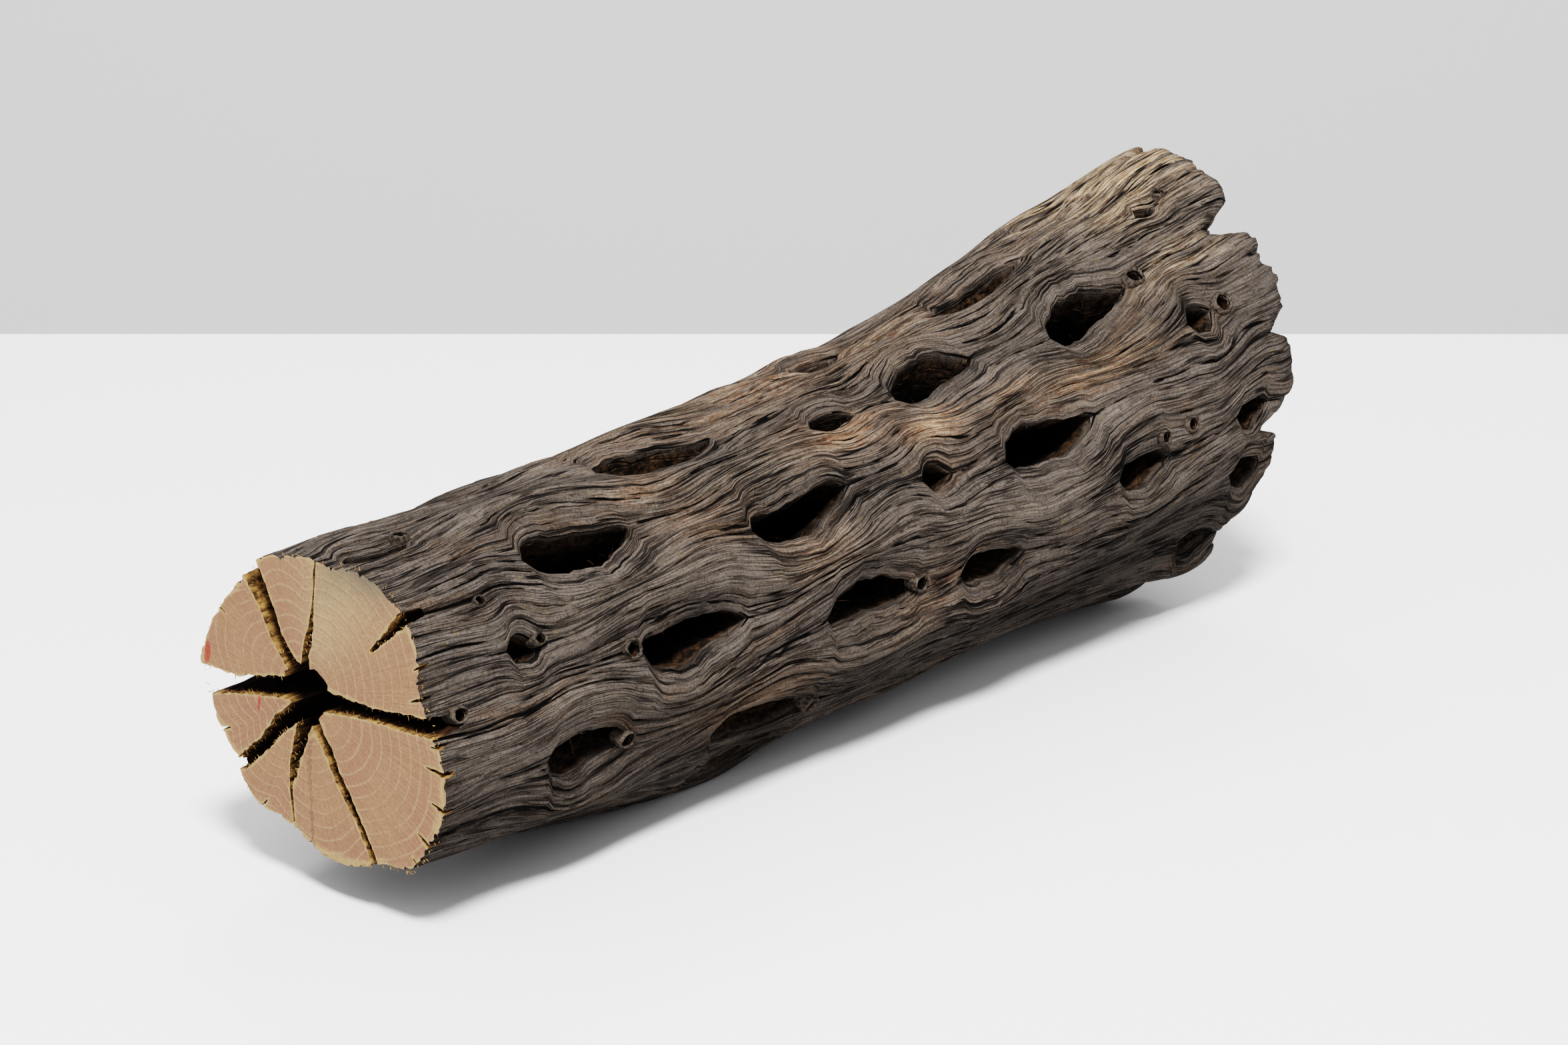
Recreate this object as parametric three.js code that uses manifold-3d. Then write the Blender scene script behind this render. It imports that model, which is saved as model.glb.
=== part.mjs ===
// Cholla cactus wood: a hollow length of weathered stem, sawn square at one end and broken off at the other.
// Millimetres, z up. The stem lies on its side on the plane z = 0, and x runs from the saw cut.
// Angles go round the stem in degrees from its top, positive towards the front, which is -y.
import * as THREE from "three";
import { mergeVertices } from "three/addons/utils/BufferGeometryUtils.js";
import Module from "manifold-3d";

const wasm = await Module();
wasm.setup();

// Driving dimensions of the stem.
const AXIS_HEIGHT = 32.1; // middle of the saw cut above the surface below
const REACH = 250; // the grid of the outer surface is worked out as far as this
const ROWS = 33; // steps along the outer surface
const COLUMNS = 48; // steps round the outer surface
const FACE_FADE = 30; // the saw cut's own outline is lost over this length

// Distance from the saw cut, mean radius there, and rise of the middle above that of the saw cut.
const STATIONS = [
  [0, 27.2, -0.2],
  [40, 29.0, -1.3],
  [80, 30.0, -1.9],
  [110, 30.6, -0.3],
  [140, 31.8, 0.5],
  [170, 34.1, 2.8],
  [200, 38.3, 6.1],
  [225, 40.2, 9.0],
  [250, 40.6, 11.2],
];

// Outline of the saw cut: angle and radius.
const FACE = [
  [-156, 23.4],
  [-127, 27.1],
  [-117, 25.6],
  [-100, 28.3],
  [-82, 29.9],
  [-47, 26.9],
  [-29, 27.7],
  [-2, 26.7],
  [35, 29.8],
  [69, 25.0],
  [84, 26.0],
  [106, 27.8],
  [138, 28.3],
  [152, 25.2],
  [178, 24.0],
];

// Broken end: angle and how far the wood reaches there, before the notches.
const BROKEN = [
  [-165, 214],
  [-125, 228],
  [-80, 241],
  [-31, 247],
  [-5, 237],
  [22, 230],
  [45, 225],
  [78, 221],
  [101, 219],
  [122, 212],
  [155, 208],
];

// Hollow of the pith: distance from the saw cut, y and height above the middle of the saw cut, radius.
const PITH = [
  [-12, 1.3, 4.0, 5.6],
  [0, 1.3, 4.0, 5.6],
  [60, 0.8, 3.4, 5.8],
  [120, 0.3, 3.2, 6.1],
  [170, 0.0, 5.2, 7.0],
  [215, 0.4, 9.2, 8.8],
  [265, 0.6, 12.6, 10.4],
];
const PITH_SIDES = 12;
const PITH_STEPS = 14;
const PITH_LOBES = 3;
const PITH_UNEVEN = 0.1; // height of a lobe as a share of the radius
const PITH_TWIST = 18; // millimetres along in which the lobes turn through one radian

// Openings seen on the front: distance from the saw cut to the middle, angle, length, width, depth.
const DEEP = 60; // an opening as deep as this reaches the pith
const FRONT_HOLES = [
  [9.5, 6, 12.5, 5.5, 9],
  [74, 6, 27, 9, DEEP],
  [42, 34, 26, 8.5, DEEP],
  [59, 77, 26, 8, DEEP],
  [91, 50, 24, 7.5, DEEP],
  [112, 23, 11, 5, 12],
  [128, -12, 12, 6, 12],
  [22, 61, 6.5, 5, 14],
  [33, 105, 19, 8, DEEP],
  [78, 124, 27, 8.5, DEEP],
  [103, 92, 25, 8, DEEP],
  [134, 95, 17, 6.5, 14],
  [140, 24, 22, 9, DEEP],
  [125, 59, 9, 5, 12],
  [155, 63, 25, 8.5, DEEP],
  [181, 31, 22, 9, DEEP],
  [173, -4, 26, 7, DEEP],
  [206, -20, 14, 6.5, 14],
  [201, 51, 8, 6, 14],
  [176, 84, 14, 6.5, DEEP],
  [208, 85, 10, 6, 14],
  [208, 103, 11, 8, 16],
  [38, -23, 12, 5, 3],
  [200, 124, 12, 7, DEEP],
];

// The rest follow the spiral of the cactus: each opening is a fixed turn and a fixed step on from the last.
const SPIRAL_TURN = 137.5;
const SPIRAL_STEP = 5.75;
const SPIRAL_START = [42, 34]; // distance and angle of the opening that the count starts from
const SPIRAL_FROM = -4;
const SPIRAL_TO = 31;
const FRONT_FROM = -27; // the list above covers the angles between these two
const FRONT_TO = 133;
const REST_KEEP_OUT = 17; // half the width, in degrees, of the bare strip that the stem lies on
const SPIRAL_LENGTH = 24;
const SPIRAL_WIDTH = 7.8;
const SPIRAL_LEAST = 0.85; // an opening's size as a share of those two runs from this
const SPIRAL_SPREAD = 0.3; // over this much more
const SPIRAL_STRAY = 4; // how far an opening may lie off its place in the spiral
const SPIRAL_STRAY_TURN = 8; // and how many degrees

// Gaps between the wedges at the saw cut: angle, inner and outer radius, inner and outer width, and how far
// each runs into the stem.
const OUTSIDE = 44; // a radius clear of the wood
const GAPS = [
  [-92, 0, OUTSIDE, 3.2, 5.2, 22],
  [-40, 0, 24, 2.8, 4.2, 8],
  [-6, 0, 16, 1.6, 1.8, 12],
  [40, 17, OUTSIDE, 0.7, 3.2, 8],
  [79, 0, OUTSIDE, 2.2, 4.6, 9],
  [155, 0, 25, 1.6, 1.8, 14],
  [-154, 0, 17, 2.0, 2.0, 14],
  [-121, 0, OUTSIDE, 2.6, 4.0, 11],
];

// Notches in the broken rim: angle, depth from the rim, width.
const NOTCHES = [
  [-9, 9, 5],
  [30, 10, 6],
  [64, 5, 4],
  [91, 6, 5],
  [128, 4, 5],
  [-42, 8, 4],
  [-66, 12, 6],
  [-96, 9, 5],
  [-128, 13, 6],
  [165, 8, 6],
];

// Tubular scars at the ends of the openings: distance from the saw cut and angle.
const SCARS = [
  [15.8, 4],
  [44.2, 75],
  [41.5, 107],
  [90.5, 124.5],
  [115, 92],
  [194, 30],
  [207, 51],
  [189, 78],
];
const SCAR_RADIUS = 1.9;
const SCAR_BORE = 1.0;
const SCAR_RISE = 0.7; // how far a scar stands out of the surface
const SCAR_HEIGHT = 4;
const SCAR_SIDES = 8;

// Two low swells under the stem, which it rests on: distance from the saw cut and height.
const FEET = [
  [64, 1.0],
  [198, 1.8],
];
const FOOT_LENGTH = 19;
const FOOT_TURN = 24; // half the angle that a foot takes up
const BELOW_DEPTH = 40;

// Swelling of the strands. Distances along are in half lengths of an opening and distances across in half
// widths.
const DIMPLE = 2.1; // depth of the hollow round an opening
const DIMPLE_LONG = 1.4; // square of its reach along
const DIMPLE_WIDE = 2.0; // square of its reach across
const ROPE = 1.1; // height of the ropes beside an opening
const ROPE_LONG = 1.7;
const ROPE_OFFSET = 2.3; // middle of a rope
const ROPE_WIDE = 0.95;
const SWELLING_REACH = 2.6; // no swelling further along than this
const FULL_DEPTH = 9; // a shallower or shorter opening than these swells less
const FULL_LENGTH = 20;

// Slow unevenness of the whole stem: height, waves in a turn, millimetres along for one radian, start.
const LUMPS = [
  [0.55, 2, 41, 0.7],
  [0.45, 3, -27, 2.1],
  [0.35, 5, 19, 4.0],
];

// Dish of the broken end: share of the rim's radius, depth there.
const DISH = [
  [0.82, 5],
  [0.5, 11],
];
const DISH_ROUGH = 2.5;

// Sections of the plugs that cut the openings and notches, as shares of an opening's own sizes.
const OVER = 4; // a plug stands out of the mean surface by this
const MOUTH_WIDE = 1.15;
const SHALLOW_FLOOR = [0.7, 0.5]; // length and width at the bottom of an opening that stops in the wood
const SHALLOW_MOUTH_LONG = 1.1;
const DEEP_FLOOR_LONG = 1.2;
const DEEP_FLOOR_WIDTH = 1.2;
const NOTCH_INSIDE = 16; // radius where a notch begins
const NOTCH_OUTSIDE = 50;
const NOTCH_INNER = [1.4, 0.4]; // twice its depth, and its width, at the inner radius
const NOTCH_OUTER = [2, 1.1];
const PLUG_SIDES = 8;
const PLUG_ROUND = 0.7; // how blunt the outline of a plug is, out of 1

const SEED = 20417;

const radians = THREE.MathUtils.degToRad;
const random = seeded(SEED);

function seeded(seed) {
  let state = seed;
  return () => {
    state = (state * 16807) % 2147483647;
    return state / 2147483647;
  };
}

function wrap(angle) {
  return ((((angle + 180) % 360) + 360) % 360) - 180;
}

// Value of a column of the knots at x, on a smooth curve through them.
function through(knots, x, column) {
  let i = 0;
  while (i < knots.length - 2 && x > knots[i + 1][0]) i += 1;
  const a = knots[i];
  const b = knots[i + 1];
  const before = knots[Math.max(i - 1, 0)];
  const after = knots[Math.min(i + 2, knots.length - 1)];
  const span = b[0] - a[0];
  const t = THREE.MathUtils.clamp((x - a[0]) / span, 0, 1);
  const slopeA = ((b[column] - before[column]) / (b[0] - before[0])) * span;
  const slopeB = ((after[column] - a[column]) / (after[0] - a[0])) * span;
  const t2 = t * t;
  const t3 = t2 * t;
  return (
    (2 * t3 - 3 * t2 + 1) * a[column] +
    (t3 - 2 * t2 + t) * slopeA +
    (3 * t2 - 2 * t3) * b[column] +
    (t3 - t2) * slopeB
  );
}

// The same for knots that go once round the stem.
function around(knots, angle) {
  const last = knots[knots.length - 1];
  const closed = [[last[0] - 360, last[1]], ...knots, [knots[0][0] + 360, knots[0][1]]];
  const turned = angle < closed[0][0] ? angle + 360 : angle;
  return through(closed, turned > closed[closed.length - 1][0] ? turned - 360 : turned, 1);
}

function meanRadius(x) {
  return through(STATIONS, x, 1);
}

function middleHeight(x) {
  return AXIS_HEIGHT + through(STATIONS, x, 2);
}

// A point at a distance out from the stem's middle line, and aside from that direction.
function place(x, angle, out, aside = 0) {
  const sine = Math.sin(radians(angle));
  const cosine = Math.cos(radians(angle));
  return [x, -out * sine - aside * cosine, middleHeight(x) + out * cosine - aside * sine];
}

function spiralHoles() {
  const holes = [];
  for (let n = SPIRAL_FROM; n <= SPIRAL_TO; n += 1) {
    const x = SPIRAL_START[0] + SPIRAL_STEP * n + SPIRAL_STRAY * (random() - 0.5);
    const angle = wrap(SPIRAL_START[1] + SPIRAL_TURN * n + SPIRAL_STRAY_TURN * (random() - 0.5));
    const length = SPIRAL_LENGTH * (SPIRAL_LEAST + SPIRAL_SPREAD * random());
    const width = SPIRAL_WIDTH * (SPIRAL_LEAST + SPIRAL_SPREAD * random());
    const onFront = angle > FRONT_FROM && angle < FRONT_TO;
    const onRest = Math.abs(wrap(angle - 180)) < REST_KEEP_OUT;
    if (!onFront && !onRest) holes.push([x, angle, length, width, DEEP]);
  }
  return holes;
}

const HOLES = [...FRONT_HOLES, ...spiralHoles()];

// Hollow and ropes that one opening makes in the outer surface.
function swelling(hole, x, angle, radius) {
  const [middle, turn, length, width, depth] = hole;
  const along = (x - middle) / (length / 2);
  if (Math.abs(along) > SWELLING_REACH) return 0;
  const across = (radians(wrap(angle - turn)) * radius) / (width / 2);
  const strength = Math.min(1, depth / FULL_DEPTH) * Math.min(1, length / FULL_LENGTH);
  const dimple = -DIMPLE * Math.exp(-(along * along) / DIMPLE_LONG - (across * across) / DIMPLE_WIDE);
  const beside = (Math.abs(across) - ROPE_OFFSET) / ROPE_WIDE;
  const rope = ROPE * Math.exp(-(along * along) / ROPE_LONG - beside * beside);
  return strength * (dimple + rope);
}

function lumps(x, angle) {
  let rise = 0;
  for (const [height, waves, along, start] of LUMPS) {
    rise += height * Math.sin(waves * radians(angle) + x / along + start);
  }
  return rise;
}

function feet(x, angle) {
  const across = wrap(angle - 180) / FOOT_TURN;
  let rise = 0;
  for (const [middle, height] of FEET) {
    const along = (x - middle) / FOOT_LENGTH;
    rise += height * Math.exp(-along * along - across * across);
  }
  return rise;
}

function outerRadius(x, angle) {
  const mean = meanRadius(x);
  const face = Math.exp(-((x / FACE_FADE) ** 2));
  let radius = mean + face * (around(FACE, angle) - meanRadius(0)) + (1 - face) * lumps(x, angle);
  for (const hole of HOLES) radius += swelling(hole, x, angle, mean);
  return radius + feet(x, angle);
}

function solidOf(points, triangles) {
  const vertProperties = new Float32Array(points.flat());
  const triVerts = new Uint32Array(triangles.flat());
  return new wasm.Manifold(new wasm.Mesh({ numProp: 3, vertProperties, triVerts }));
}

function solidOfGeometry(geometry) {
  const bare = geometry.clone();
  bare.deleteAttribute("normal");
  bare.deleteAttribute("uv");
  const merged = mergeVertices(bare, 1e-4);
  const position = merged.getAttribute("position");
  const points = [];
  for (let i = 0; i < position.count; i += 1) {
    points.push([position.getX(i), position.getY(i), position.getZ(i)]);
  }
  return solidOf(points, [Array.from(merged.index.array)]);
}

// A closed body through rings of equal length, with a middle point on each end.
function loft(rings, firstMiddle, lastMiddle) {
  const sides = rings[0].length;
  const points = rings.flat();
  const first = points.push(firstMiddle) - 1;
  const last = points.push(lastMiddle) - 1;
  const triangles = [];
  for (let k = 0; k < sides; k += 1) {
    const next = (k + 1) % sides;
    for (let row = 0; row < rings.length - 1; row += 1) {
      const a = row * sides + k;
      const b = row * sides + next;
      triangles.push([a, b, a + sides], [b, b + sides, a + sides]);
    }
    const end = (rings.length - 1) * sides;
    triangles.push([first, next, k], [last, end + k, end + next]);
  }
  const solid = solidOf(points, triangles);
  if (solid.volume() > 0) return solid;
  return solidOf(
    points,
    triangles.map(([a, b, c]) => [a, c, b]),
  );
}

function average(points) {
  return [0, 1, 2].map((axis) => points.reduce((sum, p) => sum + p[axis], 0) / points.length);
}

// Outer form of the stem, closed at the saw cut by a plane and at the broken end by a ragged dish.
function stem() {
  const rings = [];
  for (let row = 0; row <= ROWS; row += 1) {
    const ring = [];
    for (let column = 0; column < COLUMNS; column += 1) {
      const angle = wrap((360 * column) / COLUMNS);
      const x = (Math.min(around(BROKEN, angle), REACH) * row) / ROWS;
      ring.push(place(x, angle, outerRadius(x, angle)));
    }
    rings.push(ring);
  }
  for (const [share, depth] of DISH) {
    const ring = [];
    for (let column = 0; column < COLUMNS; column += 1) {
      const angle = wrap((360 * column) / COLUMNS);
      const x = around(BROKEN, angle) - depth + DISH_ROUGH * (random() - 0.5);
      ring.push(place(x, angle, share * outerRadius(x, angle)));
    }
    rings.push(ring);
  }
  const deepest = average(rings[rings.length - 1]);
  return loft(rings, place(0, 0, 0), deepest);
}

// A radial plug with a lens-shaped outline. Each layer is an out distance with a length and a width there.
function plug(x, angle, layers) {
  const rings = layers.map(([out, length, width]) => {
    const ring = [];
    for (let k = 0; k < PLUG_SIDES; k += 1) {
      const turn = (2 * Math.PI * (k + 0.5)) / PLUG_SIDES;
      const sine = Math.sin(turn);
      const lens = (sine * (PLUG_ROUND + (1 - PLUG_ROUND) * Math.abs(sine)) * width) / 2;
      ring.push(place(x + (Math.cos(turn) * length) / 2, angle, out, lens));
    }
    return ring;
  });
  return loft(rings, average(rings[0]), average(rings[rings.length - 1]));
}

// How far out from the middle line the pith's own middle lies, in the direction of an angle.
function pithOut(x, angle) {
  const up = AXIS_HEIGHT + through(PITH, x, 2) - middleHeight(x);
  return up * Math.cos(radians(angle)) - through(PITH, x, 1) * Math.sin(radians(angle));
}

function hole([x, angle, length, width, depth]) {
  const radius = meanRadius(x);
  if (depth < DEEP) {
    return plug(x, angle, [
      [radius - depth, SHALLOW_FLOOR[0] * length, SHALLOW_FLOOR[1] * width],
      [radius + OVER, SHALLOW_MOUTH_LONG * length, MOUTH_WIDE * width],
    ]);
  }
  return plug(x, angle, [
    [pithOut(x, angle), DEEP_FLOOR_LONG * length, DEEP_FLOOR_WIDTH],
    [radius + OVER, length, MOUTH_WIDE * width],
  ]);
}

function gap([angle, inner, outer, innerWidth, outerWidth, depth]) {
  return plug(0, angle, [
    [inner, 2 * depth, innerWidth],
    [outer, 2 * depth, outerWidth],
  ]);
}

function notch([angle, depth, width]) {
  const rim = around(BROKEN, angle);
  return plug(rim, angle, [
    [NOTCH_INSIDE, NOTCH_INNER[0] * depth, NOTCH_INNER[1] * width],
    [NOTCH_OUTSIDE, NOTCH_OUTER[0] * depth, NOTCH_OUTER[1] * width],
  ]);
}

function pith() {
  const rings = [];
  const from = PITH[0][0];
  const to = PITH[PITH.length - 1][0];
  for (let step = 0; step <= PITH_STEPS; step += 1) {
    const x = from + ((to - from) * step) / PITH_STEPS;
    const [y, z, radius] = [1, 2, 3].map((column) => through(PITH, x, column));
    const ring = [];
    for (let k = 0; k < PITH_SIDES; k += 1) {
      const turn = (2 * Math.PI * k) / PITH_SIDES;
      const out = radius * (1 + PITH_UNEVEN * Math.sin(PITH_LOBES * turn + x / PITH_TWIST));
      ring.push([x, y + out * Math.cos(turn), AXIS_HEIGHT + z + out * Math.sin(turn)]);
    }
    rings.push(ring);
  }
  return loft(rings, average(rings[0]), average(rings[rings.length - 1]));
}

function cylinder(radius, length, [x, angle], out) {
  const geometry = new THREE.CylinderGeometry(radius, radius, length, SCAR_SIDES);
  const outward = new THREE.Vector3(0, -Math.sin(radians(angle)), Math.cos(radians(angle)));
  const turn = new THREE.Quaternion().setFromUnitVectors(new THREE.Vector3(0, 1, 0), outward);
  geometry.applyQuaternion(turn);
  geometry.translate(...place(x, angle, out));
  return solidOfGeometry(geometry);
}

// A scar is a short tube that stands out of the surface, with its root sunk in the wood.
function withScars(wood) {
  let scarred = wood;
  for (const scar of SCARS) {
    const top = outerRadius(...scar) + SCAR_RISE;
    scarred = scarred.add(cylinder(SCAR_RADIUS, SCAR_HEIGHT, scar, top - SCAR_HEIGHT / 2));
    scarred = scarred.subtract(cylinder(SCAR_BORE, SCAR_HEIGHT, scar, top));
  }
  return scarred;
}

// Everything under the plane z = 0, so that the stem rests on flats.
function below() {
  const box = new THREE.BoxGeometry(2 * REACH, REACH, BELOW_DEPTH);
  box.translate(REACH / 2, 0, -BELOW_DEPTH / 2);
  return solidOfGeometry(box);
}

function buildWood() {
  const cutters = [...HOLES.map(hole), ...GAPS.map(gap), ...NOTCHES.map(notch)];
  const hollow = cutters.reduce((joined, cutter) => joined.add(cutter), pith());
  const wood = withScars(stem().subtract(hollow)).subtract(below());
  const bodies = wood.decompose();
  return bodies.reduce((largest, body) => (body.volume() > largest.volume() ? body : largest));
}

function meshOf(solid, material) {
  const { vertProperties, triVerts } = solid.getMesh();
  const geometry = new THREE.BufferGeometry();
  geometry.setAttribute("position", new THREE.BufferAttribute(new Float32Array(vertProperties), 3));
  geometry.setIndex(new THREE.BufferAttribute(new Uint32Array(triVerts), 1));
  geometry.computeVertexNormals();
  return new THREE.Mesh(geometry, material);
}

const weatheredWood = new THREE.MeshStandardMaterial({ color: 0x6f675e, roughness: 0.92, metalness: 0 });

// The origin is on the surface below, in the middle of the stem's footprint.
const wood = meshOf(buildWood(), weatheredWood);
wood.name = "cholla_wood";
wood.geometry.computeBoundingBox();
const footprint = wood.geometry.boundingBox.getCenter(new THREE.Vector3());
wood.position.set(-footprint.x, -footprint.y, 0);

const model = new THREE.Group();
model.add(wood);

export default model;
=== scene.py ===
import math

import bmesh
import bpy
import numpy as np
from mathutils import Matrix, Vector
from mathutils.bvhtree import BVHTree
from mathutils.kdtree import KDTree


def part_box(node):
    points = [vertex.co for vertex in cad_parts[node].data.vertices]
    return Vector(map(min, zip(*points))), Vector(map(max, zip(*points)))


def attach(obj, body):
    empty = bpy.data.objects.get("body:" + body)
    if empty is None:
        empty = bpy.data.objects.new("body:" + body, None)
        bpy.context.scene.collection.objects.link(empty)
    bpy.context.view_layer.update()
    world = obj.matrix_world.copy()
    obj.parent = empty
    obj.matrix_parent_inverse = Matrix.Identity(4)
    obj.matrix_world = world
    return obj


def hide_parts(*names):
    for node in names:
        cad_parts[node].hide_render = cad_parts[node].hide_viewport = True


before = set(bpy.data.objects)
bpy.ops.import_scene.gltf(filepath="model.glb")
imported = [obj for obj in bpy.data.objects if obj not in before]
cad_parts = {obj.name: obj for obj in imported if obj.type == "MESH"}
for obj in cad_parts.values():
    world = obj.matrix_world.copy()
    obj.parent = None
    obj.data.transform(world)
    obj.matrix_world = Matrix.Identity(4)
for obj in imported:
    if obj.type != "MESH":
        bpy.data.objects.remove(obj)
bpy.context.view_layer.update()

# Cholla cactus wood: one hollow length of weathered stem, sawn at one end and broken off at the other.
# Lengths are millimetres until a mesh is made. x runs from the saw cut along the stem.
# Angles go round the stem in degrees from its top, positive towards the front, which is -y.
MM = 0.001
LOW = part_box("cholla_wood")[0]
SHIFT = np.array([LOW.x / MM, -0.96, 0.0])  # from the stem's own coordinates to the row's frame

AXIS_HEIGHT = 32.1  # of the stem's middle line, before STATIONS move it up or down
FACE_FADE = 30.0  # how far along the stem the outline of the saw cut is felt

# Grid of the outer surface. The break cuts its length short, and its columns lie closer on the front.
REACH = 250.0
ROW_STEP = 1.4
COLUMNS = 380
FRONT_DENSITY = (1.0, 0.62)  # on the front and on the back
FRONT_SPAN = (-72.0, 152.0)
FRONT_BLEND = 12.0

# Distance from the saw cut, mean radius there, and rise of the middle above that of the saw cut.
STATIONS = [
    (0, 27.2, -0.2), (40, 29.0, -1.3), (80, 30.0, -1.9), (110, 30.6, -0.3), (140, 31.8, 0.5),
    (170, 34.1, 2.8), (200, 38.3, 6.1), (225, 40.2, 9.0), (250, 40.6, 11.2),
]

# Outline of the saw cut: angle and radius.
FACE = [
    (-156, 23.4), (-127, 27.1), (-117, 25.6), (-100, 28.3), (-82, 29.9), (-47, 26.9), (-29, 27.7), (-2, 26.7),
    (35, 29.8), (69, 25.0), (84, 26.0), (106, 27.8), (138, 28.3), (152, 25.2), (178, 24.0),
]

# Broken end: angle and how far the wood reaches there, before the notches.
BROKEN = [
    (-165, 214), (-125, 228), (-80, 241), (-31, 247), (-5, 237), (22, 230), (45, 225), (78, 221), (101, 219),
    (122, 212), (155, 208),
]

# Hollow of the pith: distance from the saw cut, y and height above the middle of the saw cut, radius.
PITH = [
    (-12, 4.4, 3.2, 5.0), (0, 4.4, 3.2, 5.0), (30, 2.4, 3.3, 5.4), (60, 0.8, 3.4, 5.8), (120, 0.3, 3.2, 6.1),
    (170, 0.0, 5.2, 7.0), (215, 0.4, 9.2, 8.8), (265, 0.6, 12.6, 10.4),
]

# Openings seen on the front: distance from the saw cut to the middle, angle, length, width, depth.
DEEP = 60  # stands for an opening right through to the pith
FRONT_HOLES = [
    (9.5, 6, 12.5, 5.5, 9), (74, 6, 27, 9, DEEP), (42, 34, 26, 8.5, DEEP), (59, 77, 26, 8, DEEP),
    (91, 50, 24, 7.5, DEEP), (112, 23, 11, 5, 12), (128, -12, 12, 6, 12), (22, 61, 6.5, 5, 14),
    (33, 105, 19, 8, DEEP), (78, 124, 27, 8.5, DEEP), (103, 92, 25, 8, DEEP), (134, 95, 17, 6.5, 14),
    (140, 24, 22, 9, DEEP), (125, 59, 9, 5, 12), (155, 63, 25, 8.5, DEEP), (181, 31, 22, 9, DEEP),
    (173, -4, 26, 7, DEEP), (206, -20, 14, 6.5, 14), (201, 51, 8, 6, 14), (176, 84, 14, 6.5, DEEP),
    (208, 85, 10, 6, 14), (208, 103, 11, 8, 16), (38, -23, 12, 5, 3), (200, 124, 12, 7, DEEP),
    (211, 13, 6, 3, 5),
]
PIT_FLOOR = 14.0  # distance of a deep opening's floor from the middle line, before it is cut through
FUZZY = ((74, 6), (42, 34), (33, 105), (103, 92), (78, 124))  # the openings with the most loose fibres

# Walls of an opening: share of its depth, with the shares of its width and length left there.
SHALLOW_WALL = [
    (0.04, 1.0, 1.0), (0.14, 0.96, 1.0), (0.3, 0.88, 1.0), (0.5, 0.75, 1.0), (0.72, 0.55, 0.95),
    (0.9, 0.34, 0.85), (1.0, 0.14, 0.7),
]
DEEP_WALL = [
    (0.03, 1.0, 1.0), (0.1, 1.0, 1.0), (0.22, 0.97, 1.0), (0.4, 0.9, 1.0), (0.6, 0.8, 0.99),
    (0.8, 0.66, 0.96), (1.0, 0.44, 0.9),
]

# The rest follow the spiral of the cactus: each opening is a fixed turn and a fixed step on from the last.
SPIRAL_TURN = 137.5
SPIRAL_STEP = 5.75
SPIRAL_START = (42, 34)
SPIRAL_RANGE = (-4, 31)
SPIRAL_WANDER = (4, 8)  # whole range of the scatter, along the stem and in degrees
SPIRAL_LENGTH = 24
SPIRAL_WIDTH = 7.8
FRONT_LIMITS = (-27, 133)  # angles that FRONT_HOLES covers
REST_KEEP_OUT = 17  # degrees to either side of the line that the stem rests on

# Gaps between the wedges of the saw cut, each a path of points: distance aside towards the front,
# height above the middle of the cut, width there, and how far the gap runs into the stem.
GAP_PATHS = [
    [(-20.5, 26.5, 4.8, 2.0), (-15.8, 20.2, 4.4, 2.2), (-13.5, 16.7, 3.6, 3.0), (-10.9, 11.2, 2.9, 7),
     (-7.9, 7.8, 3.0, 13), (-4.5, 4.5, 4.0, 16)],
    [(-0.6, 27.5, 0.5, 1.5), (-1.0, 25.8, 0.4, 1.5), (-1.85, 19.1, 0.4, 2), (-2.7, 14.7, 1.2, 5),
     (-4.1, 10.2, 1.7, 10), (-4.6, 6.0, 2.2, 12)],
    [(-36, -1.2, 5.6, 18), (-29, -0.4, 5.0, 20), (-21.8, 0.35, 3.0, 20), (-11.2, 2.8, 3.6, 20),
     (-4.0, 3.5, 4.6, 20)],
    [(-24.2, -15.2, 0.8, 0.8), (-20.7, -12.8, 2.6, 3), (-15.7, -8.7, 2.4, 8), (-11.1, -3.7, 3.0, 12),
     (-5.5, 0.5, 3.6, 16)],
    [(-8.9, -20.4, 0.35, 1.5), (-9.3, -14.6, 0.6, 3), (-8.2, -10.2, 2.0, 8), (-6.5, -5.6, 2.8, 12),
     (-4.5, -0.5, 3.2, 16)],
    [(11.4, -25.2, 1.4, 2.5), (9.6, -20.7, 1.3, 3), (6.6, -15.6, 1.6, 6), (2.7, -10.1, 1.8, 9),
     (-0.3, -4.7, 2.0, 12), (-3.2, -0.6, 2.4, 14)],
    [(34, 5.4, 3.0, 3.2), (27.8, 4.8, 3.4, 5), (20.2, 4.3, 3.0, 9), (11.6, 3.6, 2.3, 12),
     (5.0, 3.4, 3.0, 14), (-2.5, 3.0, 4.4, 16)],
    [(22.5, 25.0, 2.2, 3), (17.9, 20.5, 2.2, 5), (14.5, 17.3, 1.2, 4), (11.3, 14.2, 0.5, 2)],
]
GAP_SHARES = (-1, 0.0, 0.08, 0.18, 0.32, 0.5, 0.75, 1.0)  # of a gap's depth; -1 is outside the saw cut
GAP_ROUGH = 0.12

# Short splits in the edge of the saw cut: angle, length inwards, width at the edge.
EDGE_SPLITS = [
    (57, 1.6, 0.5), (68, 3.4, 0.9), (86, 1.8, 0.5), (95, 3.8, 1.0), (108, 2.6, 0.8), (124, 3.6, 1.2),
    (134, 1.6, 0.6), (-140, 1.6, 0.5), (-108, 2, 0.5), (-62, 1.6, 0.4),
]

# Angles at which one wedge of the saw cut ends and the next begins, about the hollow.
WEDGE_ENDS = [-157, -121, -92, -43, 2, 84, 150, 203]

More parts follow.
